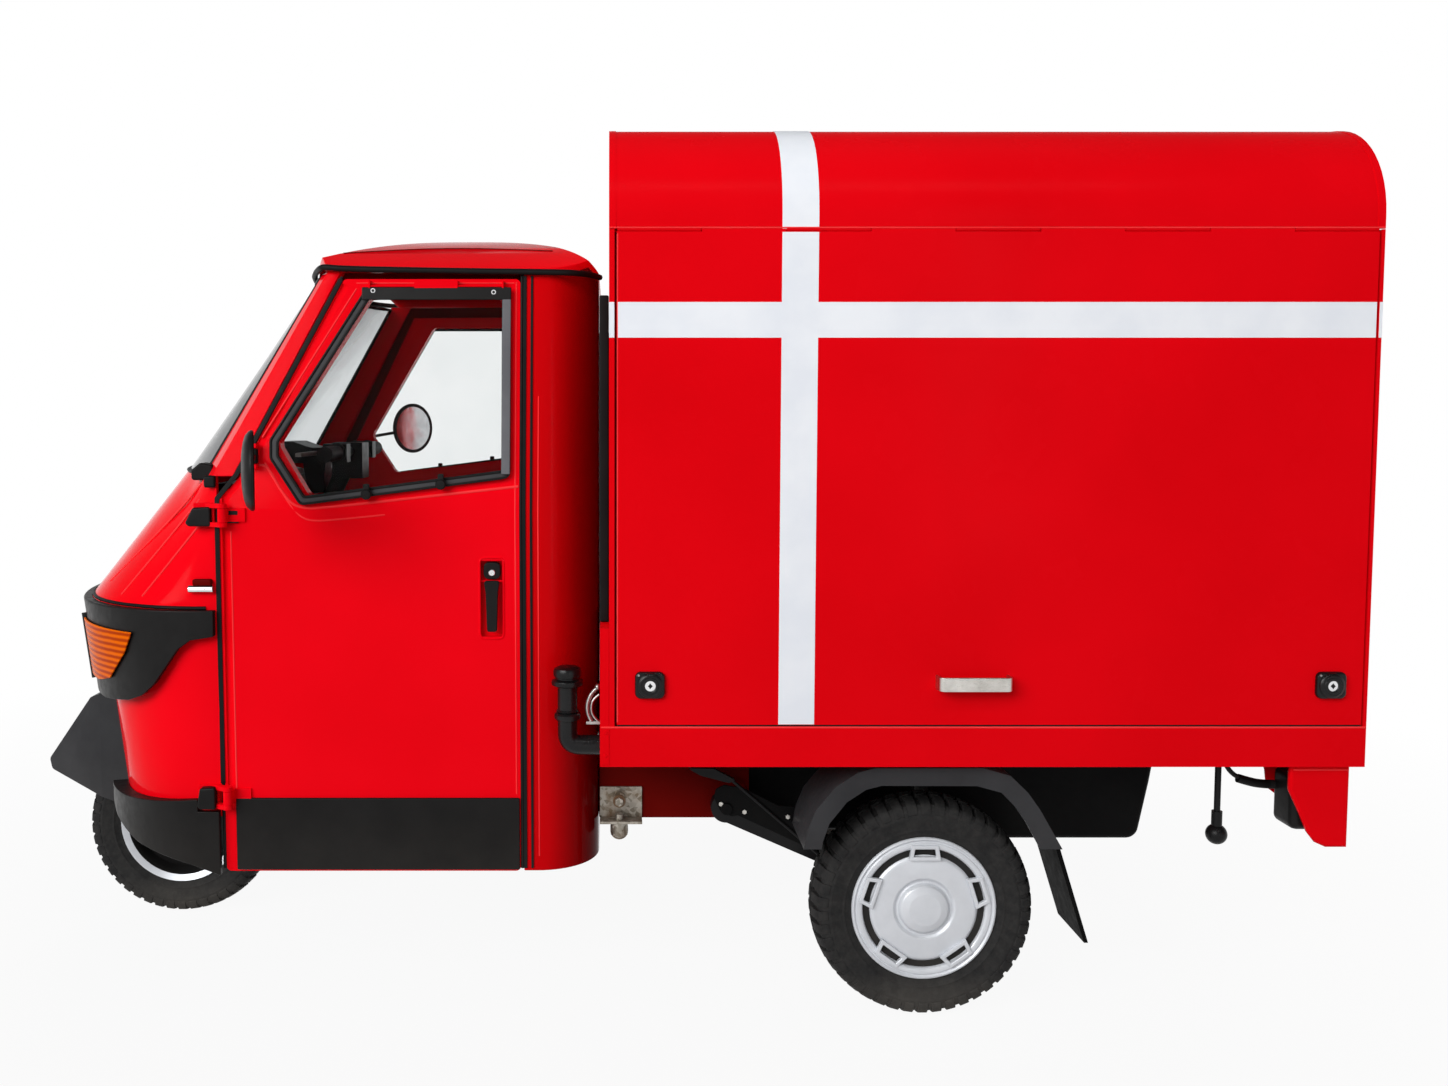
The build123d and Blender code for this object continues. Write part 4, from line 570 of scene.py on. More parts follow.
def grained_vinyl(name):
    """Seat vinyl with a pebbled leather grain."""
    vinyl = surface(name, Specular_IOR_Level=0.4)
    pebbles = {"Vector": object_space(vinyl), "Scale": 420.0}
    cells = added(vinyl, "TexVoronoi", pebbles, feature="DISTANCE_TO_EDGE").outputs["Distance"]
    wired(vinyl, Base_Color=graded(vinyl, cloud(vinyl, 12.0, 5.0), (26, 26, 28), (44, 43, 44)),
          Roughness=ranged(vinyl, cloud(vinyl, 80.0, 4.0), 0.42, 0.6))
    return relief(vinyl, cells, 0.5, 0.6)


def scuffed_rubber(name):
    """Tyre rubber, greyer where it is scuffed."""
    rubber = surface(name, Specular_IOR_Level=0.14)
    scuff = cloud(rubber, 55.0, 7.0, 0.7)
    colour = graded(rubber, scuff, (24, 24, 25), (54, 53, 52), 0.3, 0.75)
    wired(rubber, Base_Color=dusty(rubber, colour, (128, 122, 114), 90.0, 0.5),
          Roughness=ranged(rubber, scuff, 0.62, 0.85))
    return relief(rubber, cloud(rubber, 700.0, 3.0), 0.3, 0.3)


cab_paint = gloss_paint("cab_gloss_red", (236, 3, 18), (244, 4, 22))
box_paint = gloss_paint("box_panel_red", (221, 3, 14), (230, 4, 17), 0.2, 0.3)
# Lighter red laid on thin beads: a painted highlight along edges and creases where the light catches them.
highlight_paint = gloss_paint("painted_highlight_red", (246, 46, 50), (252, 64, 66))
shaded_paint = corner_shade_paint("cab_shaded_red")
# Dark red: the chassis frame's own paint, and painted shade on cab-red parts that sit in shade (door stops,
# catch hooks, roof creases).
frame_red_and_painted_shade = gloss_paint("chassis_red_and_painted_shade", (84, 6, 4), (104, 10, 6), 0.4, 0.6)
black_moulding = moulded("black_moulding", (15, 14, 14), (22, 21, 21), 0.4, shine=0.12)
guard_moulding = moulded("guard_moulding", (44, 44, 46), (54, 54, 56), 0.44)
# Black rubber of seals, gaskets and sleeves; also black strips standing as painted shade in the gaps under
# the hatch and between cab and box.
rubber_and_gap_shade_black = moulded("rubber_and_gap_shade_black", (13, 13, 14), (20, 20, 20), 0.5, 500.0, shine=0.1)
grip_ribbed = moulded("grip_rubber_grain", (24, 24, 24), (36, 36, 36), 0.6, 650.0, 0.5)
black_enamel = moulded("black_enamel", (13, 13, 14), (21, 21, 22), 0.36, 300.0, 0.05, 0.05)
wheel_silver = metal("wheel_silver_paint", (206, 209, 214), (214, 217, 222), 0.34, grain=40.0, metallic=0.2,
                     depth=0.01)
drum_grey = metal("drum_grey", (120, 120, 120), (150, 150, 149), 0.5, metallic=0.5)
# Stained cast grey, its tone raised as painted light: the drum sits in the wheel's shade and is lightened to
# look lit.
stained_drum_painted_light = metal("stained_drum_painted_light", (150, 142, 132), (198, 196, 192), 0.5, grain=500.0, metallic=0.2,
                     depth=0.3)
bright_chrome = metal("bright_chrome", (214, 214, 216), (232, 232, 233), 0.12, grain=160.0)
brushed_steel = metal("brushed_handle_steel", (176, 172, 166), (206, 203, 198), 0.3, (1, 1, 30), 90.0)
worktop_steel = metal("worktop_steel", (176, 178, 180), (200, 202, 204), 0.3, (1, 40, 40), 60.0)
cast_metal = metal("cast_alloy_skin", (138, 138, 134), (172, 171, 168), 0.55, grain=600.0, depth=0.6)
clip_metal = metal("clip_cast_metal", (128, 126, 124), (196, 194, 192), 0.32, grain=400.0, depth=0.5)
rusty_steel = metal("rusty_bolt_steel", (92, 66, 44), (146, 132, 112), 0.6, grain=500.0, metallic=0.5,
                    depth=0.5)
mirror_silver = metal("mirror_silver", (182, 184, 186), (208, 210, 212), 0.1, grain=30.0, metallic=0.9,
                      depth=0.01)
galvanised = spangle("galvanised_sheet")
seat_vinyl = grained_vinyl("seat_cover_vinyl")
tyre_rubber = scuffed_rubber("tyre_compound")
amber_glass = lens("amber_lamp_glass", (168, 54, 0), (230, 102, 0), 0.0, 0.25, 0.03, 26.0)
clear_glass = lens("clear_lamp_glass", (212, 214, 216), (236, 238, 240), 0.85)
red_glass = lens("red_lamp_glass", (150, 6, 8), (186, 12, 12), 0.35)
window_glass = pane("window_glass", (248, 249, 249), (243, 245, 245), 0.0)
screen_glass = sheen_painted_glass("screen_glass")
white_film = moulded("white_film", (232, 236, 243), (240, 243, 248), 0.35, 300.0, 0.05)
# Near black of the window screws, and painted shade inside the hubcap slots, the valve hole and the keyholes.
screw_black_and_hole_shade = moulded("screw_black_and_hole_shade", (22, 22, 23), (32, 32, 33), 0.6)
flap_rubber = moulded("flap_rubber", (8, 8, 9), (14, 14, 14), 0.6, 400.0, dust=0.03, shine=0.03)
seal_grey = moulded("seal_grey", (52, 52, 54), (64, 64, 66), 0.45, 500.0)
channel_grey = moulded("channel_grey", (92, 94, 98), (106, 108, 112), 0.4, 500.0)
gloss_black = moulded("gloss_black_pipe", (12, 12, 13), (20, 20, 21), 0.3, 300.0, 0.05, 0.05, 0.22)
tank_black = moulded("tank_black", (9, 9, 10), (15, 15, 15), 0.5, 300.0, dust=0.03, shine=0.05)

# The first finish of a slot is the one that most of its solids wear
slot_finishes = {
    "paint_red": (cab_paint, highlight_paint), "chassis_red": (frame_red_and_painted_shade,),
    "panel_red": (box_paint, white_film),
    "black_plastic": (black_moulding, rubber_and_gap_shade_black, seal_grey, channel_grey, screw_black_and_hole_shade, gloss_black,
                      flap_rubber),
    "screen_glass": (screen_glass, window_glass), "tyre_rubber": (tyre_rubber,),
    "rim_silver": (wheel_silver, drum_grey, stained_drum_painted_light), "black_metal": (black_enamel, tank_black),
    "lock_chrome": (bright_chrome, mirror_silver), "handle_steel": (brushed_steel, clip_metal),
    "zinc_plate": (galvanised, rusty_steel), "amber_lens": (amber_glass,), "clear_lens": (clear_glass,),
    "red_lens": (red_glass,), "seat_vinyl": (seat_vinyl,), "counter_steel": (worktop_steel,),
    "grip_rubber": (grip_ribbed,), "cast_alloy": (cast_metal,),
}
node_finish = {node: slot_finishes[slot][0] for node, slot in node_slot.items()} | {
    "front_mudguard": guard_moulding, "rear_fenders": guard_moulding, "deck": box_paint,
    "fuel_tank": tank_black, "air_box": tank_black, "cab_rear_wall": shaded_paint,
    "hatch_lock_plates": gloss_black,
}
for node, solid in frame["nodes"].items():
    solid.data.materials.clear()
    solid.data.materials.append(node_finish[node])


# Panels whose edges the light catches

def softened(node, width, segments=2, cuts=(), reshape=None):
    """Copy of a solid with grooves and rounded edges, in its place."""
    piece = copied(frame["nodes"][node], node + "_panel")
    editing(piece)
    bpy.ops.mesh.remove_doubles(threshold=0.02 * MM)
    bpy.ops.mesh.dissolve_limited(angle_limit=math.radians(0.6))
    done()
    for cutter in cuts:
        shaped(piece, "BOOLEAN", operation="DIFFERENCE", solver="EXACT", object=cutter)
        bpy.data.objects.remove(cutter)
    if reshape:
        reshape(piece)
    shaped(piece, "BEVEL", width=width * MM, segments=segments, limit_method="ANGLE",
           angle_limit=math.radians(28.0), use_clamp_overlap=True)
    smoothed(piece, 40.0)
    return dressed(piece, node_body[node], node_finish[node], node, slot=node_slot[node])


def sunk_roof(piece):
    """Draw the barrel roof in by 1 mm, so that its bands and stripe lie within the box."""
    centre, skin_depth = box_half - shoulder_radius, 6
    for corner in piece.data.vertices:
        y, z = corner.co.y / MM, corner.co.z / MM
        away = Vector((max(abs(y) - centre, 0.0) * math.copysign(1, y), max(z - shoulder_z, 0.0)))
        if away.length > shoulder_radius - skin_depth:
            inward = away.normalized() * MM
            corner.co.y -= inward.x
            corner.co.z -= inward.y


def rounded_guard(piece):
    """Round the front mudguard's outer edges and tip."""
    half, tip_half = 92.2, 34.2
    side_on = [(-1343.2, 366), (-1337.2, 341.8), (-1130, 265.8), (-1040, 234), (-780, 234), (-780, 323),
               (-904.8, 500.2), (-1010, 548.2), (-1130, 560.2), (-1225, 520.2)]
    round_body = plate("guard_round", corner_arcs(side_on, 11.0, 3), -half, half)
    beak = [(-1343.4, -tip_half), (-1200, -half), (-790, -half), (-790, half), (-1200, half),
            (-1343.4, tip_half)]
    wedge = plate("guard_beak", beak, 200, 700, "Z")
    shaped(round_body, "BOOLEAN", operation="INTERSECT", solver="EXACT", object=wedge)
    rounded(round_body, 13.0, 4, 35.0)
    shaped(piece, "BOOLEAN", operation="INTERSECT", solver="EXACT", object=round_body)
    for cutter in (wedge, round_body):
        bpy.data.objects.remove(cutter)


def door_groove(side):
    """Cutter for the channel along a door's front edge."""
    line = [(-777, 424), (-777, 1004), (-743, 1046), (-553, 1416)]
    cutter = leaned(plate("groove_" + side, band(line, 7.0), 4.0, -8.0))
    if side == "left":
        return cutter
    twin = mirrored(cutter, "groove_twin")
    bpy.data.objects.remove(cutter)
    return twin


panel_edges = {
    "nose_shell": 4.0, "roof_panel": 5.0, "cab_rear_wall": 2.0, "windscreen_frame": 3.0, "rear_fenders": 2.5,
    "deck": 4.0, "box_walls": 2.0, "hatch_frame": 1.0, "hatch_panel": 2.0, "door_hinges": 2.0,
    "chassis_frame": 3.0, "hatch_handle": 1.5, "side_bracket": 1.0, "rear_brackets": 1.5, "dashboard": 3.0,
    "engine_unit": 2.0, "serving_counter": 1.5, "hatch_lock_plates": 2.0, "cab_floor": 2.0, "handlebar": 4.0,
    "fuel_tank": 6.0, "air_box": 6.0, "windscreen": 0.6,
}
for node, width in panel_edges.items():
    softened(node, width)
for node, width in (("lamp_band", 9.0), ("front_skirts", 7.0), ("indicators", 4.0)):
    softened(node, width, 4)
softened("front_mudguard", 1.0, reshape=rounded_guard)
softened("box_roof", 2.0, reshape=sunk_roof)
for side in ("left", "right"):
    softened("door_" + side, 2.0, cuts=[door_groove(side)])


# Wheels
fine_turn = 90
lug_count, bolt_count = 46, 5
bead_seat = [
    (138.5, -43), (139, -40), (131.5, -36.5), (130.4, -20), (122, -14), (122, 14), (130.4, 20), (131.5, 36.5),
    (139, 40), (138.5, 43), (134, 42), (126, 38), (118, 18),
]


def tyre(name):
    """Tyre with lugged shoulders, centre blocks and raised rings on its walls."""
    wall = [
        (131, 38), (140, 39.5), (148, 43), (152, 45), (154, 46.6), (157, 46.6), (159, 46.2), (168, 48.2),
        (177, 49.2), (179, 50), (182, 50), (184, 49), (192, 48), (198, 46), (203, 40), (205.5, 20),
    ]
    inside = [(196, 30), (192, 38), (180, 42.5), (150, 37.5), (131, 32)]
    profile = [(r, -y) for r, y in wall] + [(206, 0)] + wall[::-1]
    profile += inside[::-1] + [(197, 0)] + [(r, -y) for r, y in inside]
    carcass = turned(name, profile, 96)
    lug = [
        (-14, 214.0), (-28, 211.2), (-42, 206.4), (-47.6, 200), (-50, 190), (-49.6, 185), (-46, 184),
        (-43, 197), (-38, 202), (-14, 204),
    ]
    shoulder = around(plate("lug", lug, -9.5, 9.5, "X", 1.4), lug_count)
    other = mirrored(shoulder, "lug_other")
    tread = [(-14, -10), (4, -7), (10, 2), (14, 10), (-4, 7), (-10, -2)]
    middle = around(plate("centre_block", tread, 203.0, 214.6, "Z", 1.2), lug_count)
    return joined(name, carcass, shoulder, other, middle)


def hubcap():
    """Pressed wheel cover: stepped boss in a moat, dish, slot ring and an outer ring with a bright lip."""
    face = [
        (0, 53), (29, 53), (32, 52.4), (43, 48.6), (45.5, 47), (48, 43), (49.4, 39.4), (51.5, 38.4),
        (54, 38.8), (58.5, 43.2), (61.5, 44.2), (80, 43.0), (95, 41.4), (99.4, 40.4), (102, 38.6),
        (104.2, 36.4), (117.2, 36.4), (118.0, 40.6), (120, 43.0), (124, 44.6), (128.6, 44.0), (130.4, 42.2),
        (132.0, 42.0), (133.6, 43.6), (135.6, 44.6), (138.4, 43.4), (139.6, 41.2), (139.6, 40.0), (135, 40.0),
        (110, 35.6), (0, 35.6),
    ]
    return turned("hubcap", [(r, -out) for r, out in face], fine_turn, solid=True)


def rear_wheel_set():
    """Rear wheels: tyre, rim with its disc and hub, pressed cover with frames and slots, valve hole; the
    slots and valve hole get a black ring and disc as painted shade.
    """
    rim = bead_seat + [(117, -10), (92, -18), (40, -19), (38, 10), (28, 12), (28, -26), (90, -24), (118, -19),
                       (126, -34), (134, -41)]
    opening = [(-31, 95), (31, 95), (25.5, 125), (-25.5, 125)]
    slots = [(104.6, -36.2), (117.0, -36.2), (117.0, -37.4), (104.6, -37.4)]
    for piece, finish, *nodes in (
        (tyre("rear_tyre_tread"), tyre_rubber, "rear_tyre"),
        (turned("rear_wheel_rim", rim), drum_grey),
        (hubcap(), wheel_silver, "rear_rim"),
        (around(ring_plate("hubcap_frames", opening, 7.6, -39.0, -48.4, "Y", 2.0), bolt_count), wheel_silver),
        # Black ring under the frames: painted shade inside the hubcap's slots.
        (turned("hubcap_slot_ring", slots, fine_turn), screw_black_and_hole_shade),
        # Black disc: painted shade inside the valve hole.
        (rod("valve_hole", (44, -36, 70), (44, -39.6, 70), 5.5, 16), screw_black_and_hole_shade),
    ):
        both_sides(moved(piece, rear_axle, -rear_wheel_y, axle_z), "rear_wheel", finish, *nodes)


def front_wheel_set():
    """Front wheel: tyre, bright rim flange, black barrel and disc, drum cover and nuts lightened as painted
    light, and hub cap.
    """
    lip = bead_seat + [(117, -4), (118, -12), (122, -30), (125, -37), (134, -41.4)]
    barrel = [(125, -36.6), (121.4, -30), (117.4, -12), (116.4, -4), (113.5, -4), (115, -13), (119, -31),
              (123.4, -37)]
    disc = [(82, -14), (92, -12), (112, -8), (117.5, -6), (117.5, -2), (100, -2), (88, 8), (88, 36), (84, 38),
            (80, 38), (80, -10)]
    cover = [(28, -15), (56, -17), (62, -23), (78, -25), (83.5, -23), (85.6, -14), (84, -10), (28, -10)]
    cap = [(0, -34), (18, -33), (24, -28), (27, -16), (0, -14)]
    tread = moved(tyre("front_tyre_tread"), front_axle, 0, axle_z)
    dressed(tread, "front_wheel", tyre_rubber, "front_tyre")
    nut = rod("front_wheel_nuts", (0, -16, 44), (0, -25, 44), 8.0, 6, 1.0)
    for piece, finish, *nodes in (
        (turned("front_wheel_rim", lip, fine_turn), wheel_silver, "front_rim"),
        (turned("front_wheel_barrel", barrel, fine_turn), black_enamel),
        (turned("front_wheel_disc", disc), black_enamel),
        # Drum cover and nuts lightened as painted light, for the shade they sit in.
        (turned("front_drum_cover", cover), stained_drum_painted_light),
        (around(nut, bolt_count), stained_drum_painted_light),
        (turned("front_hub_cap", cap, 32, solid=True), drum_grey),
    ):
        moved(piece, front_axle, 0, axle_z)
        dressed(piece, "front_wheel", finish, *nodes, slot="rim_silver")


rear_wheel_set()
front_wheel_set()


# White stripes on the food box

def arch(name, ends, low, high):
    """Band bent over the barrel roof from seam to seam, between two depths off its skin."""
    centre = box_half - shoulder_radius
    turns = [math.radians(90 * step / 14) for step in range(15)]

    def run(depth):
        radius = shoulder_radius + depth
        line = [(-box_half - depth, seam_z + 1.0)]
        line += [(-centre - radius * math.cos(a), shoulder_z + radius * math.sin(a)) for a in turns]
        return line + [(-y, z) for y, z in reversed(line)]

    return plate(name, run(high) + run(low)[::-1], *ends, "X")


def stripes():
    """White film stripes round the box, and the roof's end bands."""
    film, sunk, edge, margin, band_width = 0.7, 0.2, 0.2, 1, 13
    fore_x, aft_x = 273.0, 339.0
    upright_film, level = (fore_x, aft_x), (1303.0, 1367.0)
    left, right = (-box_half - film, -box_half + sunk), (box_half - sunk, box_half + film)
    for name, body, *spans in (
        ("hatch_upright", "hatch", upright_film, left, (hatch_low + margin, hatch_high - margin)),
        ("hatch_fore", "hatch", (hatch_front + margin, fore_x), left, level),
        ("hatch_aft", "hatch", (aft_x, hatch_rear - margin), left, level),
        ("jamb_front", "vehicle", (box_front, box_front + 9.6), left, level),
        ("jamb_rear", "vehicle", (box_rear - 5.6, box_rear), left, level),
        ("right_upright", "vehicle", upright_film, right, (deck_high + margin, seam_z - margin)),
        ("right_fore", "vehicle", (box_front, fore_x), right, level),
        ("right_aft", "vehicle", (aft_x, box_rear), right, level),
    ):
        dressed(block("stripe_" + name, *spans, edge, 1), body, white_film)
    dressed(arch("stripe_roof", upright_film, -1.6, -0.2), "vehicle", white_film)
    for name, low in (("front", box_front), ("rear", box_rear - band_width)):
        dressed(arch("roof_band_" + name, (low, low + band_width), -4.0, -0.05), "vehicle", box_paint)


stripes()


# Door windows
flap = [(-632, 990), (-692, 1080), (-693, 1116), (-512, 1410), (-230, 1410), (-229, 1042)]
flap_middle = Vector((-440, 1220))


def flap_inset(depth):
    """Window outline drawn in evenly."""
    drawn = []
    for index, here in enumerate(flap):
        before = (Vector(here) - Vector(flap[index - 1])).normalized()
        after = (Vector(flap[(index + 1) % len(flap)]) - Vector(here)).normalized()
        inward = Vector((-before.y, before.x)) + Vector((-after.y, after.x))
        inward = inward.normalized() * depth / max(0.3, math.cos(before.angle(after) / 2))
        if (flap_middle - Vector(here)).dot(inward) < 0:
            inward = -inward
        drawn.append((here[0] + inward.x, here[1] + inward.y))
    return drawn


def window_flap():
    """Top-hung window: three-step rubber frame, glass, top bar, rear channel and two clamp knobs."""
    def ring(name, inset, corner, width, low, high, edge):
        return ring_plate(name, corner_arcs(flap_inset(inset), corner), width, low, high, "Y", edge)

    for piece, finish, *nodes in (
        (ring("window_frame", 0.0, 16.0, 4.6, 0.0, -9.0, 1.4), rubber_and_gap_shade_black, "window"),
        (ring("window_step", 4.2, 14.0, 9.0, -0.4, -6.4, 0.8), seal_grey),
        (ring("window_lip", 12.4, 10.0, 5.0, -0.4, -8.6, 1.4), rubber_and_gap_shade_black),
        (plate("window_pane", corner_arcs(flap_inset(8.0), 11.0), -2.4, -5.2), window_glass),
        (block("window_bar", (-519, -229), (-13, -8.5), (1386, 1411)), black_moulding),
        (block("window_channel", (-246, -229.5), (-12.5, -8.5), (1050, 1392), 1.6), channel_grey),
    ):
        both_sides(leaned(piece, 1.0), "window", finish, *nodes)
    washer = [(2.6, -1.0), (4.6, -1.0), (5.2, 0), (5.2, 1.5), (2.6, 1.5)]
    for index, (x, z) in enumerate(((-497, 1404), (-263, 1401))):
        y = -side_width(z) - 13.6
        both_sides(moved(turned("window_washer_%d" % index, washer, 24), x, y, z), "window", bright_chrome)
        screw = rod("window_screw_%d" % index, (x, y + 1.5, z), (x, y - 1.6, z), 2.8, 16, 0.6)
        both_sides(screw, "window", screw_black_and_hole_shade)
    stem = [(0, 0), (5, 0), (5, -5), (9, -6), (10, -9), (10, -13), (8, -15), (0, -15.6)]
    for index, (x, z) in enumerate(((-503, 1012), (-361, 1031))):
        y = -side_width(z) - 8.0
        knob = moved(turned("window_stem_%d" % index, stem, 20, solid=True), x, y, z)
        tab = block("window_tab_%d" % index, (x - 6, x + 6), (y - 12, y - 4), (z - 2, z + 20), 2.5)
        both_sides(joined("window_knob_%d" % index, knob, tab), "window", black_moulding)


window_flap()


# Rubber beads round the cab

def bow(half, front, side, z, steps=12):
    """Points along a bowed edge of the screen, from left to right."""
    radius = (half ** 2 + (side - front) ** 2) / (2 * (side - front))
    reach = math.asin(half / radius)
    turns = [reach * (2 * step / steps - 1) for step in range(steps + 1)]
    return [(front + radius - radius * math.cos(a), radius * math.sin(a), z) for a in turns]


def beads():
    """Drip rail, door seals and lips, a painted highlight bead down each rear quarter, roof creases and door
    stops in dark red as painted shade, and the screen's gasket.
    """
    side_rail = [(-592, -447, 1451), (-560, -449, 1447), (-349, -449, 1443), (-170, -449, 1441),
                 (-110, -446, 1440), (-72, -418, 1439), (-58, -370, 1439)]
    front_rail = [(-604, -438, 1450), (-642, -330, 1446), (-668, -180, 1445), (-677, 0, 1445)]
    half_rail = side_rail[::-1] + front_rail
    rail = half_rail + [(x, -y, z) for x, y, z in half_rail[-2::-1]]
    dressed(tube("drip_rail", rail, 6.0), "vehicle", rubber_and_gap_shade_black)
    seals = {
        "door_seal_rear": [(-209, z) for z in (276, 600, 980, 1200, 1438)],
        "door_seal_front": [(-793, 276), (-793, 600), (-793, 1002), (-757, 1049), (-560, 1432)],
    }
    for name, line in seals.items():
        both_sides(tube(name, on_side(line, 1.0), 3.6, False), "vehicle", rubber_and_gap_shade_black)
    lips = {
        "door_lip_lower": ([(-793, 446), (-793, 948)], 4.6),
        "door_lip_upper": ([(-793, 990), (-793, 1003), (-757, 1049), (-562, 1428)], 4.6),
        "quarter_lip": ([(-203, 276), (-203, 980), (-203, 1434)], 3.2),
        "quarter_bead": ([(-189.5, 276), (-189.5, 980), (-189.5, 1434)], 2.4),
    }
    for name, (line, half_width) in lips.items():
        lip = plate(name, band(line, half_width), 0.0, -2.2, "Y", 0.8)
        both_sides(leaned(lip, 0.2), "vehicle", rubber_and_gap_shade_black)
    # Bead in the highlight red: a painted highlight streak down the rear quarter's curve.
    shine = on_side([(-176, z) for z in (300, 640, 980, 1200)], 0.9)
    both_sides(tube("quarter_highlight", shine, 1.5, False), "vehicle", highlight_paint)
    # The door stops are cab red; their dark red is painted shade of the door openings.
    stop = plate("door_stop", band([(-757, 1049), (-562, 1430), (-212, 1432)], 13.0), 31.0, 35.0, "Y", 1.0)
    both_sides(leaned(stop), "vehicle", frame_red_and_painted_shade, slot="paint_red")
    base, top = bow(425, -975, -838, 1047), bow(385, -684, -612, 1436)
    dressed(tube("screen_gasket", base + top[::-1] + base[:1], 5.0, False), "vehicle", rubber_and_gap_shade_black)
    # Dark red bead: painted shade in the roof's crease.
    fold = [(-577, 1489), (-470, 1500), (-367, 1505), (-260, 1503), (-155, 1496)]
    crease = laid("roof_crease", skin("roof_panel"), fold, 2.2, 1.0)
    both_sides(crease, "vehicle", frame_red_and_painted_shade, slot="paint_red")


beads()


# Door fittings

def oblong(xs, zs, radius):
    """Upright rectangle with rounded corners."""
    return corner_arcs([(xs[0], zs[0]), (xs[1], zs[0]), (xs[1], zs[1]), (xs[0], zs[1])], radius)


def door_fittings():
    """Cladding, pressed lines and edges with painted highlight beads, hinge strap, handle lever with its
    fixed head, and key lock.
    """
    clad = oblong((-768, -214), (274, 417), 3.0)
    both_sides(leaned(plate("door_cladding", clad, 1.0, -6.0, "Y", 3.5, 3)), "door", black_moulding)
    mouth = oblong((-289, -243), (731, 889), 11.0)
    both_sides(tube("handle_rim", on_side(mouth + mouth[:1], 0.6), 2.6, False), "door", cab_paint)
    head = oblong((-281, -249), (847, 880), 11.0)
    both_sides(leaned(plate("handle_head", head, 13.0, -2.4, "Y", 2.2, 3)), "door", black_moulding)
    barrel = [(0, 3), (6.4, 3), (6.4, -1.5), (5.4, -2.4), (1.6, -2.4), (1.4, -1.2), (0, -1.2)]
    lock_z = 860
    lock = moved(turned("door_lock", barrel, 28, solid=True), -265, -side_width(lock_z) - 2.4, lock_z)
    both_sides(lock, "door", bright_chrome)
    grip = [(-280.5, 845), (-249.5, 845), (-253, 823), (-255.5, 746), (-274.5, 746), (-277, 823)]
    lever = leaned(plate("door_lever", corner_arcs(grip, 5.0), -3.0, -11.6, "Y", 3.6, 3))
    both_sides(lever, "door_handle", black_moulding, "door_handle")
    # Raised swage beads in the highlight red: real pressed lines with a painted highlight along them.
    swages = {
        "door_swage_highlight_0": ([(-738, 1060), (-706, 1074), (-688, 1048), (-671, 1018), (-640, 982), (-560, 988),
                          (-441, 1001), (-214, 1026)], 3.0),
        "door_swage_highlight_1": ([(-703, 1072), (-684, 1043), (-658, 997), (-636, 970), (-612, 959), (-546, 964),
                          (-470, 972)], 2.2),
    }
    for name, (line, radius) in swages.items():
        both_sides(tube(name, on_side(line, 1.2), radius), "door", highlight_paint)
    # Thin beads in the highlight red: painted highlights along the door's edges and window frame.
    highlight_lines = {
        "door_front_highlight": ([(-767, 424), (-767, 940)], 1.8),
        "door_rear_highlight": ([(-220, 424), (-220, 980), (-220, 1422)], 1.6),
        "frame_front_highlight": ([(-709, 1120), (-532, 1409)], 1.8),
        "frame_top_highlight": ([(-532, 1420), (-224, 1420)], 1.6),
    }
    for name, (line, radius) in highlight_lines.items():
        both_sides(tube(name, on_side(line, 0.7), radius, False), "door", highlight_paint)
    strap = oblong((-786, -750), (956, 982), 4.0)
    both_sides(leaned(plate("hinge_strap", strap, 1.0, -5.0, "Y", 2.0, 3)), "door", black_moulding)


door_fittings()


# Nose fittings

def band_gasket(nose):
    """Rubber bead where the lamp band's upper edge meets the bonnet."""
    band_top, far_out = Vector((-800, 0, 791)) * MM, 1.2
    line = []
    for angle in range(92, 272, 4):
        way = Vector((math.cos(math.radians(angle)), math.sin(math.radians(angle)), 0))
        place, _, _, _ = nose.ray_cast(band_top + way * far_out, -way)
        if place:
            line.append(tuple(place / MM))
    dressed(tube("band_gasket", line, 3.8), "vehicle", rubber_and_gap_shade_black)


def lens_bar():
    """Upright bar at the front end of each indicator's visible lens."""
    outward, sunk, overlap = Vector((-0.914, -0.406, 0)), 5, 9
    corners = [corner.co / MM for corner in frame["nodes"]["indicators"].data.vertices if corner.co.y < 0]
    top = max((c for c in corners if c.z > 735), key=outward.dot)
    foot = max((c for c in corners if c.z < 640), key=outward.dot)
    reach = (top - foot).normalized() * overlap
    ends = [tuple(foot - outward * sunk - reach), tuple(top - outward * sunk + reach)]
    both_sides(tube("lens_bar", ends, 8.0, False), "vehicle", black_moulding)


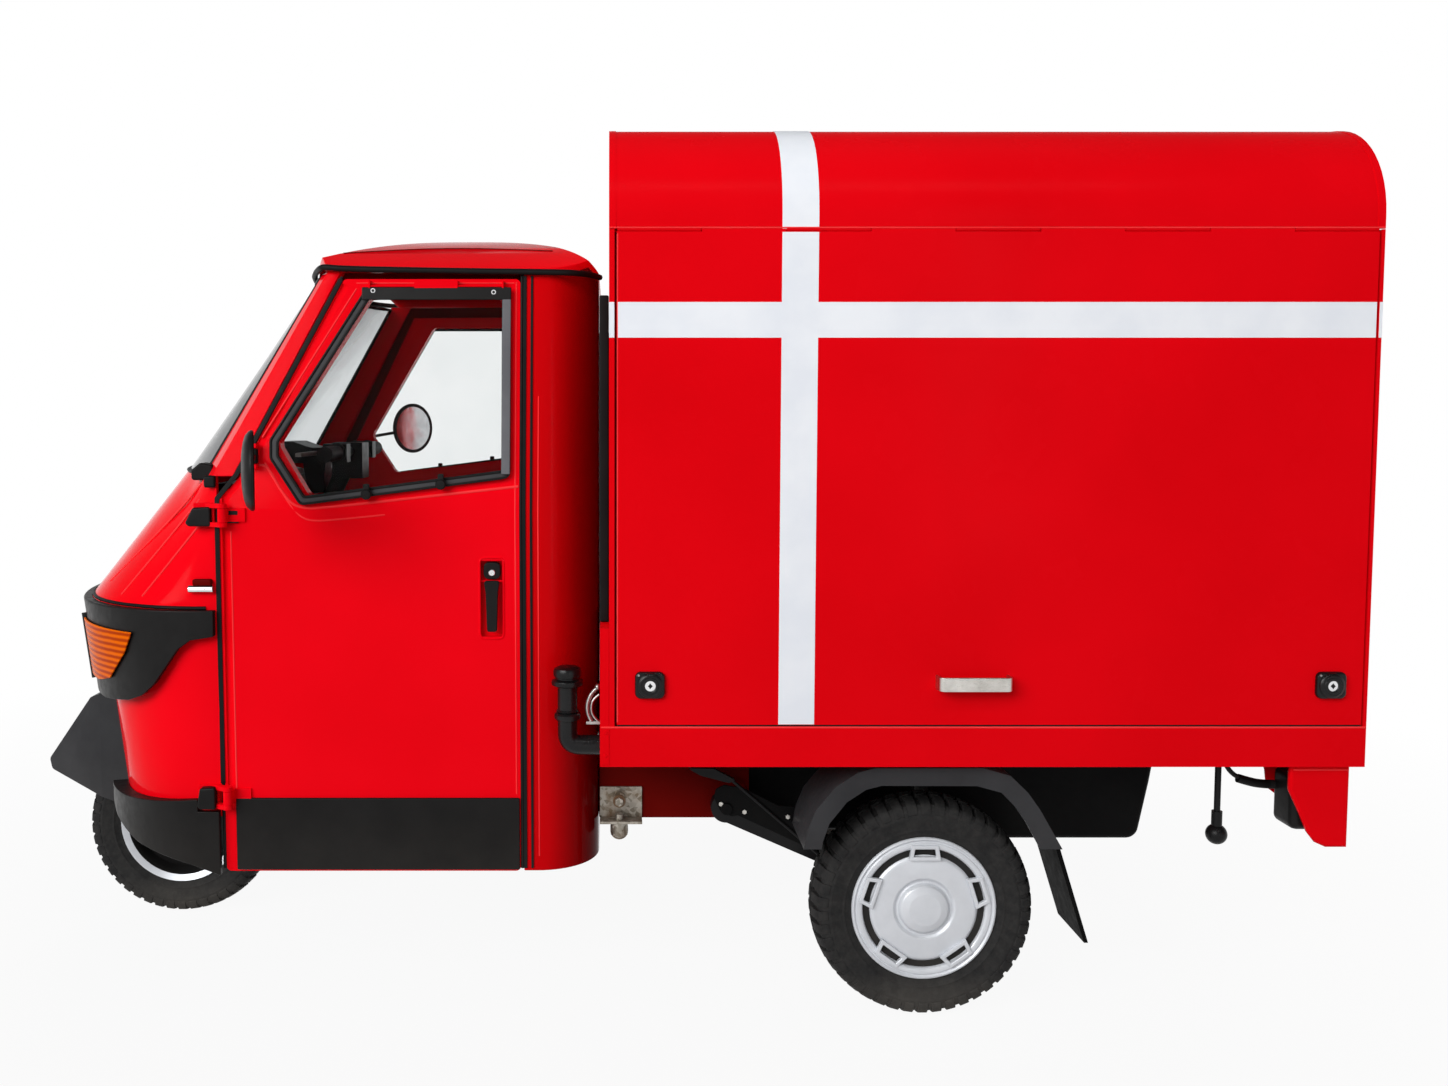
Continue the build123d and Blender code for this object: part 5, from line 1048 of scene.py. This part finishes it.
def nose_fittings():
    """Hinge covers, door catch with its hook darkened as painted shade, painted highlight beads on the bonnet
    creases, the lamp band's gasket and the screen's corner rubbers.
    """
    nose = skin("nose_shell")
    covers = {
        "hinge_cover_upper": [(-853, 957), (-838, 986), (-803, 988), (-803, 950), (-847, 950)],
        "hinge_cover_lower": [(-838, 406), (-832, 442), (-802, 444), (-802, 400), (-832, 400)],
    }
    for name, outline in covers.items():
        y = skin_y(nose, -812, outline[0][1] + 13)
        both_sides(plate(name, outline, y + 8, y - 24, "Y", 4.0, 3), "vehicle", black_moulding)
    y = skin_y(nose, -824, 830)
    catch = rod("door_catch", (-849, y - 7, 829), (-801, y - 7, 829), 7.6, 24, 1.5)
    both_sides(catch, "vehicle", bright_chrome)
    # The hook is cab red; its dark red is painted shade.
    hook = block("door_catch_hook", (-841, -805), (y - 12, y + 3), (836, 848), 3.0)
    both_sides(hook, "vehicle", frame_red_and_painted_shade, slot="paint_red")
    # Beads in the highlight red on the bonnet's creases: painted highlights.
    creases = (
        [(-840, 1028), (-900, 972), (-1000, 880), (-1060, 824)],
        [(-838, 1000), (-890, 945), (-945, 883), (-1009, 807)],
        [(-816, 971), (-869, 912), (-912, 860), (-954, 809)],
    )
    for index, line in enumerate(creases):
        both_sides(laid("bonnet_crease_highlight_%d" % index, nose, line, 2.2, 0.8), "vehicle", highlight_paint)
    band_gasket(nose)
    lens_bar()
    corner = corner_arcs([(-857, 1036), (-857, 1056), (-840, 1070), (-815, 1066), (-813, 1036)], 6.0)
    both_sides(plate("screen_corner", corner, -462, -418, "Y", 4.0, 3), "vehicle", rubber_and_gap_shade_black)
    both_sides(block("cowl_end", (-819, -797), (-506, -478), (1024, 1047), 4.0, 3), "vehicle", rubber_and_gap_shade_black)


nose_fittings()


# Mirrors

def mirror(side, head, facing, grip):
    """Round mirror: domed shell with its arm and stub, rim and glass."""
    body, mirror_turn = "mirror_" + side, 56
    head, facing = Vector(head), Vector(facing)
    inward = Vector((facing.y, -facing.x, 0)) * math.copysign(1, head.y)
    turn = Vector((0, -1, 0)).rotation_difference(facing)
    dome = [(0, 11), (30, 10), (50, 7), (62, 3), (69, -3), (71, -7), (70, -9.6), (0, -9.6)]
    hoop = [(62, -11.6), (68.6, -11.8), (71, -9.6), (71, -6), (66, -6), (62, -9)]
    face = [(0, -11), (40, -10.8), (62, -10.2), (66, -9.6), (66, -8), (0, -8)]
    sleeve = [(4.7, -14), (9, -14), (10, -13), (10, 13), (9, 14), (4.7, 14)]
    shell = turned("mirror_shell_" + side, dome, mirror_turn, solid=True)
    rim = turned("mirror_rim_" + side, hoop, mirror_turn)
    glass = turned("mirror_glass_" + side, face, mirror_turn, solid=True)
    for piece in (shell, rim, glass):
        for corner in piece.data.vertices:
            corner.co = turn @ corner.co + head * MM
    post_z, stub_reach = 1085, 8
    post = Vector((-722, math.copysign(side_width(post_z) + 14, head.y), post_z))
    stub = moved(upright(turned("mirror_stub_" + side, sleeve, 28)), *post)
    end = head + inward * grip - Vector((0, 0, 0.2 * grip))
    if grip:
        elbow = post + Vector((-2, math.copysign(108, head.y), 15))
        start = post + (elbow - post).normalized() * stub_reach
        arm = tube("mirror_arm_" + side, [tuple(start), tuple(elbow), tuple(end)], 4.4, False)
    else:
        arm = rod("mirror_arm_" + side, post + (end - post).normalized() * stub_reach, end, 6.0)
    dressed(joined("mirror_body_" + side, shell, stub, arm), body, black_moulding, body)
    dressed(rim, body, black_moulding)
    dressed(glass, body, mirror_silver)


mirror("left", (-673, -714.58, 1066), (0.9613, 0.2756, 0), 0.0)
mirror("right", (-615, 727.23, 1125), (0.7431, -0.6691, 0), 63.4)


# Fittings of the box and deck

def hatch_locks():
    """Black lock rings with keyholes painted black as shade, and the screw beside each."""
    lock_z, screw_z, key_half = 668, 687, 4.6
    ring = [
        (9.8, -13.4), (9.8, -15.0), (11.5, -15.8), (15, -15.2), (16, -14.0), (17, -14.0), (18.4, -14.4),
        (21, -13.4), (23, -11.6), (23.6, -9.4), (14.2, -9.4), (14.2, -13.4),
    ]
    for name, x in (("front", 36.5), ("rear", 1286.5)):
        dressed(moved(turned("lock_ring_" + name, ring, 48), x, -box_half, lock_z), "hatch", gloss_black)
        keyhole = [(x - key_half, lock_z), (x, lock_z + key_half), (x + key_half, lock_z),
                   (x, lock_z - key_half)]
        # Black diamond: painted shade in the keyhole.
        dressed(plate("lock_keyhole_" + name, keyhole, -642.6, -643.6), "hatch_lock_" + name, screw_black_and_hole_shade)
        screw = rod("lock_screw_" + name, (x - 21, -638, screw_z), (x - 21, -641.0, screw_z), 2.0, 14, 0.6)
        dressed(screw, "hatch", drum_grey, slot="lock_chrome")


def intake_pipe():
    """Ringed intake pipe with its cap, bent into the deck's front."""
    pipe_x, pipe_y = -118, -562
    pipe = [
        (0, 575), (17.5, 575), (18.8, 586), (23, 587.6), (25, 590.5), (25, 597), (23, 599.6), (19.8, 601),
        (21.8, 603.4), (19.8, 606), (18.8, 607), (18.8, 650), (25, 651.4), (29.4, 654), (30.4, 658),
        (29.4, 662), (25, 664.6), (22.8, 665.6), (22.8, 668), (25.4, 669.4), (26.8, 673), (26.8, 680),
        (24.8, 685), (18, 688.4), (0, 689.4),
    ]
    stack = moved(upright(turned("snorkel_stack", pipe, 40, solid=True)), pipe_x, pipe_y, 0)
    bend = [(pipe_x, 606), (pipe_x, 584), (pipe_x, 538), (-72, 538), (-52, 538)]
    elbow = tube("snorkel_elbow", [(x, pipe_y, z) for x, z in bend], 18.6, True, 6)
    dressed(joined("snorkel_pipe", stack, elbow), "vehicle", gloss_black, "snorkel")


def deck_clip():
    """Cast clip on the deck's front corner: two ribs, ball and foot."""
    clip_y = -552
    ribs = {
        "clip_bow": ([(-60, 646), (-72, 638), (-82, 614), (-80, 592), (-72, 580)], 4.4),
        "clip_rib": ([(-58, 632), (-70, 624), (-74, 606), (-70, 590), (-60, 581)], 2.8),
    }
    cast = [tube(name, [(x, clip_y, z) for x, z in line], radius, True, 4)
            for name, (line, radius) in ribs.items()]
    unselected()
    bpy.ops.mesh.primitive_uv_sphere_add(segments=20, ring_count=12, radius=6.4 * MM,
                                         location=Vector((-61, clip_y, 647)) * MM)
    ball = settled("clip_ball")
    foot = block("clip_foot", (-83, -55), (-560, -544), (576, 582), 1.5)
    dressed(joined("deck_clip", *cast, smoothed(ball, 60.0), foot), "vehicle", clip_metal)


def box_fittings():
    """Locks, intake pipe, cast clip, rivets, painted highlight beads on the panel edges, and black strips in
    the gaps as painted shade.
    """
    hatch_locks()
    intake_pipe()
    deck_clip()
    for index, z in enumerate((578, 535)):
        head = rod("deck_rivet_%d" % index, (-46, -629, z), (-46, -632.4, z), 3.8, 18, 1.4)
        both_sides(head, "vehicle", box_paint)
    both_sides(block("deck_end", (-55.5, -39), (-631.2, -629.5), (518, 586), 0.5), "vehicle", box_paint)
    # Beads in the highlight red: painted highlights along the deck's top edge and the hatch seam.
    edges = {
        "deck_edge_highlight": ((-54, -629.2, 588), (1356, -629.2, 588), 2.0),
        "seam_edge_highlight": ((-38, -629.6, 1500), (1357, -629.6, 1500), 1.4),
    }
    for name, (*ends, radius) in edges.items():
        both_sides(tube(name, ends, radius, False), "vehicle", highlight_paint, slot="panel_red")
    # Painted highlight along the hatch's front edge.
    edge = tube("hatch_front_highlight", [(-23.6, -629.4, 598), (-23.6, -629.4, 1490)], 1.5, False)
    dressed(edge, "hatch", highlight_paint, slot="panel_red")
    # Black strip in the gap above the deck: painted shade of the gap.
    gap = block("hatch_gap_shade_strip", (-24, 1347), (-629.2, -620), (589.4, 592.6), 0.3, 1)
    dressed(gap, "vehicle", rubber_and_gap_shade_black)
    # Black strips between cab and box: painted shade in the gap.
    both_sides(block("cab_gap_shade_strip", (-57, -39.5), (-560, -535), (773, 1386), 3.0), "vehicle", rubber_and_gap_shade_black)


box_fittings()


# Underside and tail

def underside():
    """Arm covers, brake rods and straps, bracket bolts, mud flaps, tail plates with a painted highlight along
    their tops, sleeves and lamp shells.
    """
    cheek = [(170, 400), (174, 418), (190, 426), (228, 420), (300, 384), (345, 381), (378, 300), (352, 296),
             (342, 306), (218, 364), (205, 362), (183, 373)]
    both_sides(plate("arm_cover", corner_arcs(cheek, 6.0, 3), -444.8, -449, "Y", 1.4), "rear_arm", tank_black)
    for index, (x, z) in enumerate(((184, 388), (231, 372), (318, 362))):
        bolt = rod("arm_bolt_%d" % index, (x, -448, z), (x, -453, z), 5.0, 6, 0.8)
        both_sides(bolt, "rear_arm", brushed_steel, slot="lock_chrome")
    both_sides(rod("brake_rod", (204, -452.6, 438), (380, -452.6, 286), 3.4, 18), "rear_arm", black_enamel)
    strap = corner_arcs([(114, 463), (168, 462), (214, 438), (199, 432), (143, 447)], 3.0, 2)
    hang = [(801, 352), (809, 352), (867, 167), (859, 167)]
    lead = [(1174, -530, 464), (1190, -530, 459), (1214, -530, 453), (1236, -530, 452)]
    for piece, finish in (
        (rod("arm_pin_cap", (195, -446, 378), (195, -455, 378), 12.0, 28, 2.0), tank_black),
        (plate("brake_strap", strap, -458, -446, "Y", 1.4), black_enamel),
        (rod("bracket_washer", (-19, -443, 392), (-19, -447, 392), 13.0, 28, 0.8), rusty_steel),
        (rod("bracket_bolt", (-19, -446, 392), (-19, -454, 392), 9.0, 6, 1.2), galvanised),
        (rod("bracket_boss", (-19, -428, 325), (-19, -392, 325), 18.0, 28, 3.0), rusty_steel),
        (plate("mud_flap", hang, -599, -459, "Y", 0.8), flap_rubber),
        # Bead in the highlight red: painted highlight along the tail plate's top.
        (tube("tail_edge_highlight", [(1235, -613.2, 504), (1336, -613.2, 504)], 2.0, False), highlight_paint),
        (block("lamp_shell", (1244, 1317), (-597, -523), (382, 490), 14.0, 4), black_moulding),
        (tube("lead_sleeve", lead, 8.6, True, 4), rubber_and_gap_shade_black),
    ):
        both_sides(piece, "vehicle", finish)
    tail = [(1229.5, 506), (1340.5, 506), (1340.5, 356.5), (1301, 356.5), (1281, 365.5), (1266, 384.5),
            (1252, 417.5), (1229.5, 465)]
    both_sides(plate("tail_plate", tail, -601, -615, "Y", 6.0, 4), "vehicle", box_paint, slot="paint_red")


underside()


# Seat

def seat_pads():
    """Cushion and backrest, crowned towards the driver."""
    crown_height, crown_power, core_share = 11, 2.4, 0.2
    for name, node, spans, axis, way in (
        ("seat_pad", "seat_cushion", ((-441, -129), (-271, 271), (562, 636)), 2, 1),
        ("back_pad", "seat_back", ((-143, -83), (-251, 251), (694, 1026)), 0, -1),
    ):
        pad = block(name, *spans, 16.0, 4)
        editing(pad)
        bpy.ops.mesh.subdivide(number_cuts=3, smoothness=0.0)
        done()
        centre = [sum(span) / 2 * MM for span in spans]
        half = [abs(b - a) / 2 * MM for a, b in spans]
        for corner in pad.data.vertices:
            share = [(corner.co[i] - centre[i]) / half[i] for i in range(3)]
            if share[axis] * way > core_share:
                crown = math.prod(1 - min(1.0, abs(share[i])) ** crown_power for i in range(3) if i != axis)
                corner.co[axis] += way * crown * crown_height * MM
        shaped(pad, "SUBSURF", levels=1, render_levels=1)
        smoothed(pad, 60.0)
        dressed(pad, "vehicle", seat_vinyl, node)


seat_pads()


# Studio
white = (1, 1, 1, 1)


def seen(owner, paths):
    """1 where the eye looks straight, by reflection or through glass, and 0 for the light on the van."""
    straight = reckoned(owner, "MAXIMUM", paths.outputs["Is Camera Ray"], paths.outputs["Is Glossy Ray"])
    return reckoned(owner, "MAXIMUM", straight, paths.outputs["Is Transmission Ray"])


def studio_floor():
    """Round floor that looks white and takes a faint grey under the van."""
    unselected()
    bpy.ops.mesh.primitive_circle_add(vertices=96, radius=9.0, fill_type="NGON", location=(0, 0, 0))
    floor = named("floor")
    pale = bpy.data.materials.new("floor_pale")
    pale.use_nodes = True
    nodes = pale.node_tree.nodes
    nodes.remove(nodes["Principled BSDF"])
    away = added(pale, "VectorMath", {0: added(pale, "TexCoord").outputs["Object"]}, operation="LENGTH")
    brightness = mapped(pale, away.outputs["Value"], (1.2, 3.4), (0.93, 1.0))
    share = reckoned(pale, "MULTIPLY", seen(pale, added(pale, "LightPath")), brightness)
    lit = added(pale, "BsdfDiffuse", {"Color": tone(176, 176, 176)})
    glow = added(pale, "Emission", {"Color": white, "Strength": 1.0})
    mix = added(pale, "MixShader", {0: share, 1: lit.outputs[0], 2: glow.outputs[0]})
    pale.node_tree.links.new(mix.outputs[0], nodes["Material Output"].inputs["Surface"])
    floor.data.materials.append(pale)


def studio_world():
    """White backdrop for the eye, darker overhead in reflections, and a dim fill light."""
    world = bpy.data.worlds.new("studio")
    world.use_nodes = True
    bpy.context.scene.world = world
    paths = added(world, "LightPath")
    way = added(world, "SeparateXYZ", {"Vector": added(world, "TexCoord").outputs["Generated"]}).outputs["Z"]
    fade = mapped(world, way, (0.1, 0.5), (1.0, 0.12))
    backdrop = reckoned(world, "MAXIMUM", fade, paths.outputs["Is Camera Ray"])
    dim = added(world, "Background", {"Color": white, "Strength": 0.16})
    bright = added(world, "Background", {"Color": white, "Strength": backdrop})
    mix = added(world, "MixShader", {0: seen(world, paths), 1: dim.outputs[0], 2: bright.outputs[0]})
    world.node_tree.links.new(mix.outputs[0], world.node_tree.nodes["World Output"].inputs["Surface"])


def studio_lamps():
    """Softboxes and strips; the right and rear ones stay out of reflections."""
    for name, place, target, size, power, in_reflections in (
        ("side_softbox", (-6.4, -8.2, 5.4), (0.2, 0.0, 0.9), (8.0, 5.0), 1090.0, True),
        ("top_softbox", (0.2, -0.6, 5.0), (0.2, 0.0, 0.0), (4.5, 2.6), 6.0, True),
        ("edge_strip", (0.4, -3.6, 4.4), (0.3, 0.0, 0.8), (4.2, 0.06), 26.0, True),
        ("quarter_strip", (1.6, -4.0, 1.5), (-0.2, -0.5, 0.9), (0.02, 2.2), 5.0, True),
        ("right_softbox", (1.0, 9.0, 2.7), (0.2, 0.0, 0.9), (8.0, 4.6), 600.0, False),
        ("rear_softbox", (9.0, 1.0, 2.7), (0.4, 0.0, 0.9), (6.0, 4.6), 400.0, False),
    ):
        lamp = bpy.data.lights.new(name, "AREA")
        lamp.shape = "RECTANGLE"
        lamp.size, lamp.size_y = size
        lamp.energy = power
        holder = bpy.data.objects.new(name, lamp)
        holder.location = place
        holder.rotation_euler = (Vector(target) - Vector(place)).to_track_quat("-Z", "Y").to_euler()
        holder.visible_camera = False
        holder.visible_transmission = False
        holder.visible_glossy = in_reflections
        bpy.context.collection.objects.link(holder)


def photo_eye():
    """Camera from where the photo was taken."""
    eye = bpy.data.cameras.new("photo_eye")
    eye.sensor_width = 36.0
    eye.lens = 31.23
    eye.shift_x, eye.shift_y = 0.0773, -0.0325
    camera = bpy.data.objects.new("photo_eye", eye)
    camera.location = (-0.0335, -2.915, 1.164)
    camera.rotation_euler = (math.radians(86.3), 0, 0)
    bpy.context.collection.objects.link(camera)
    bpy.context.scene.camera = camera
    bpy.context.scene.view_settings.view_transform = "Standard"


studio_floor()
studio_world()
studio_lamps()
photo_eye()
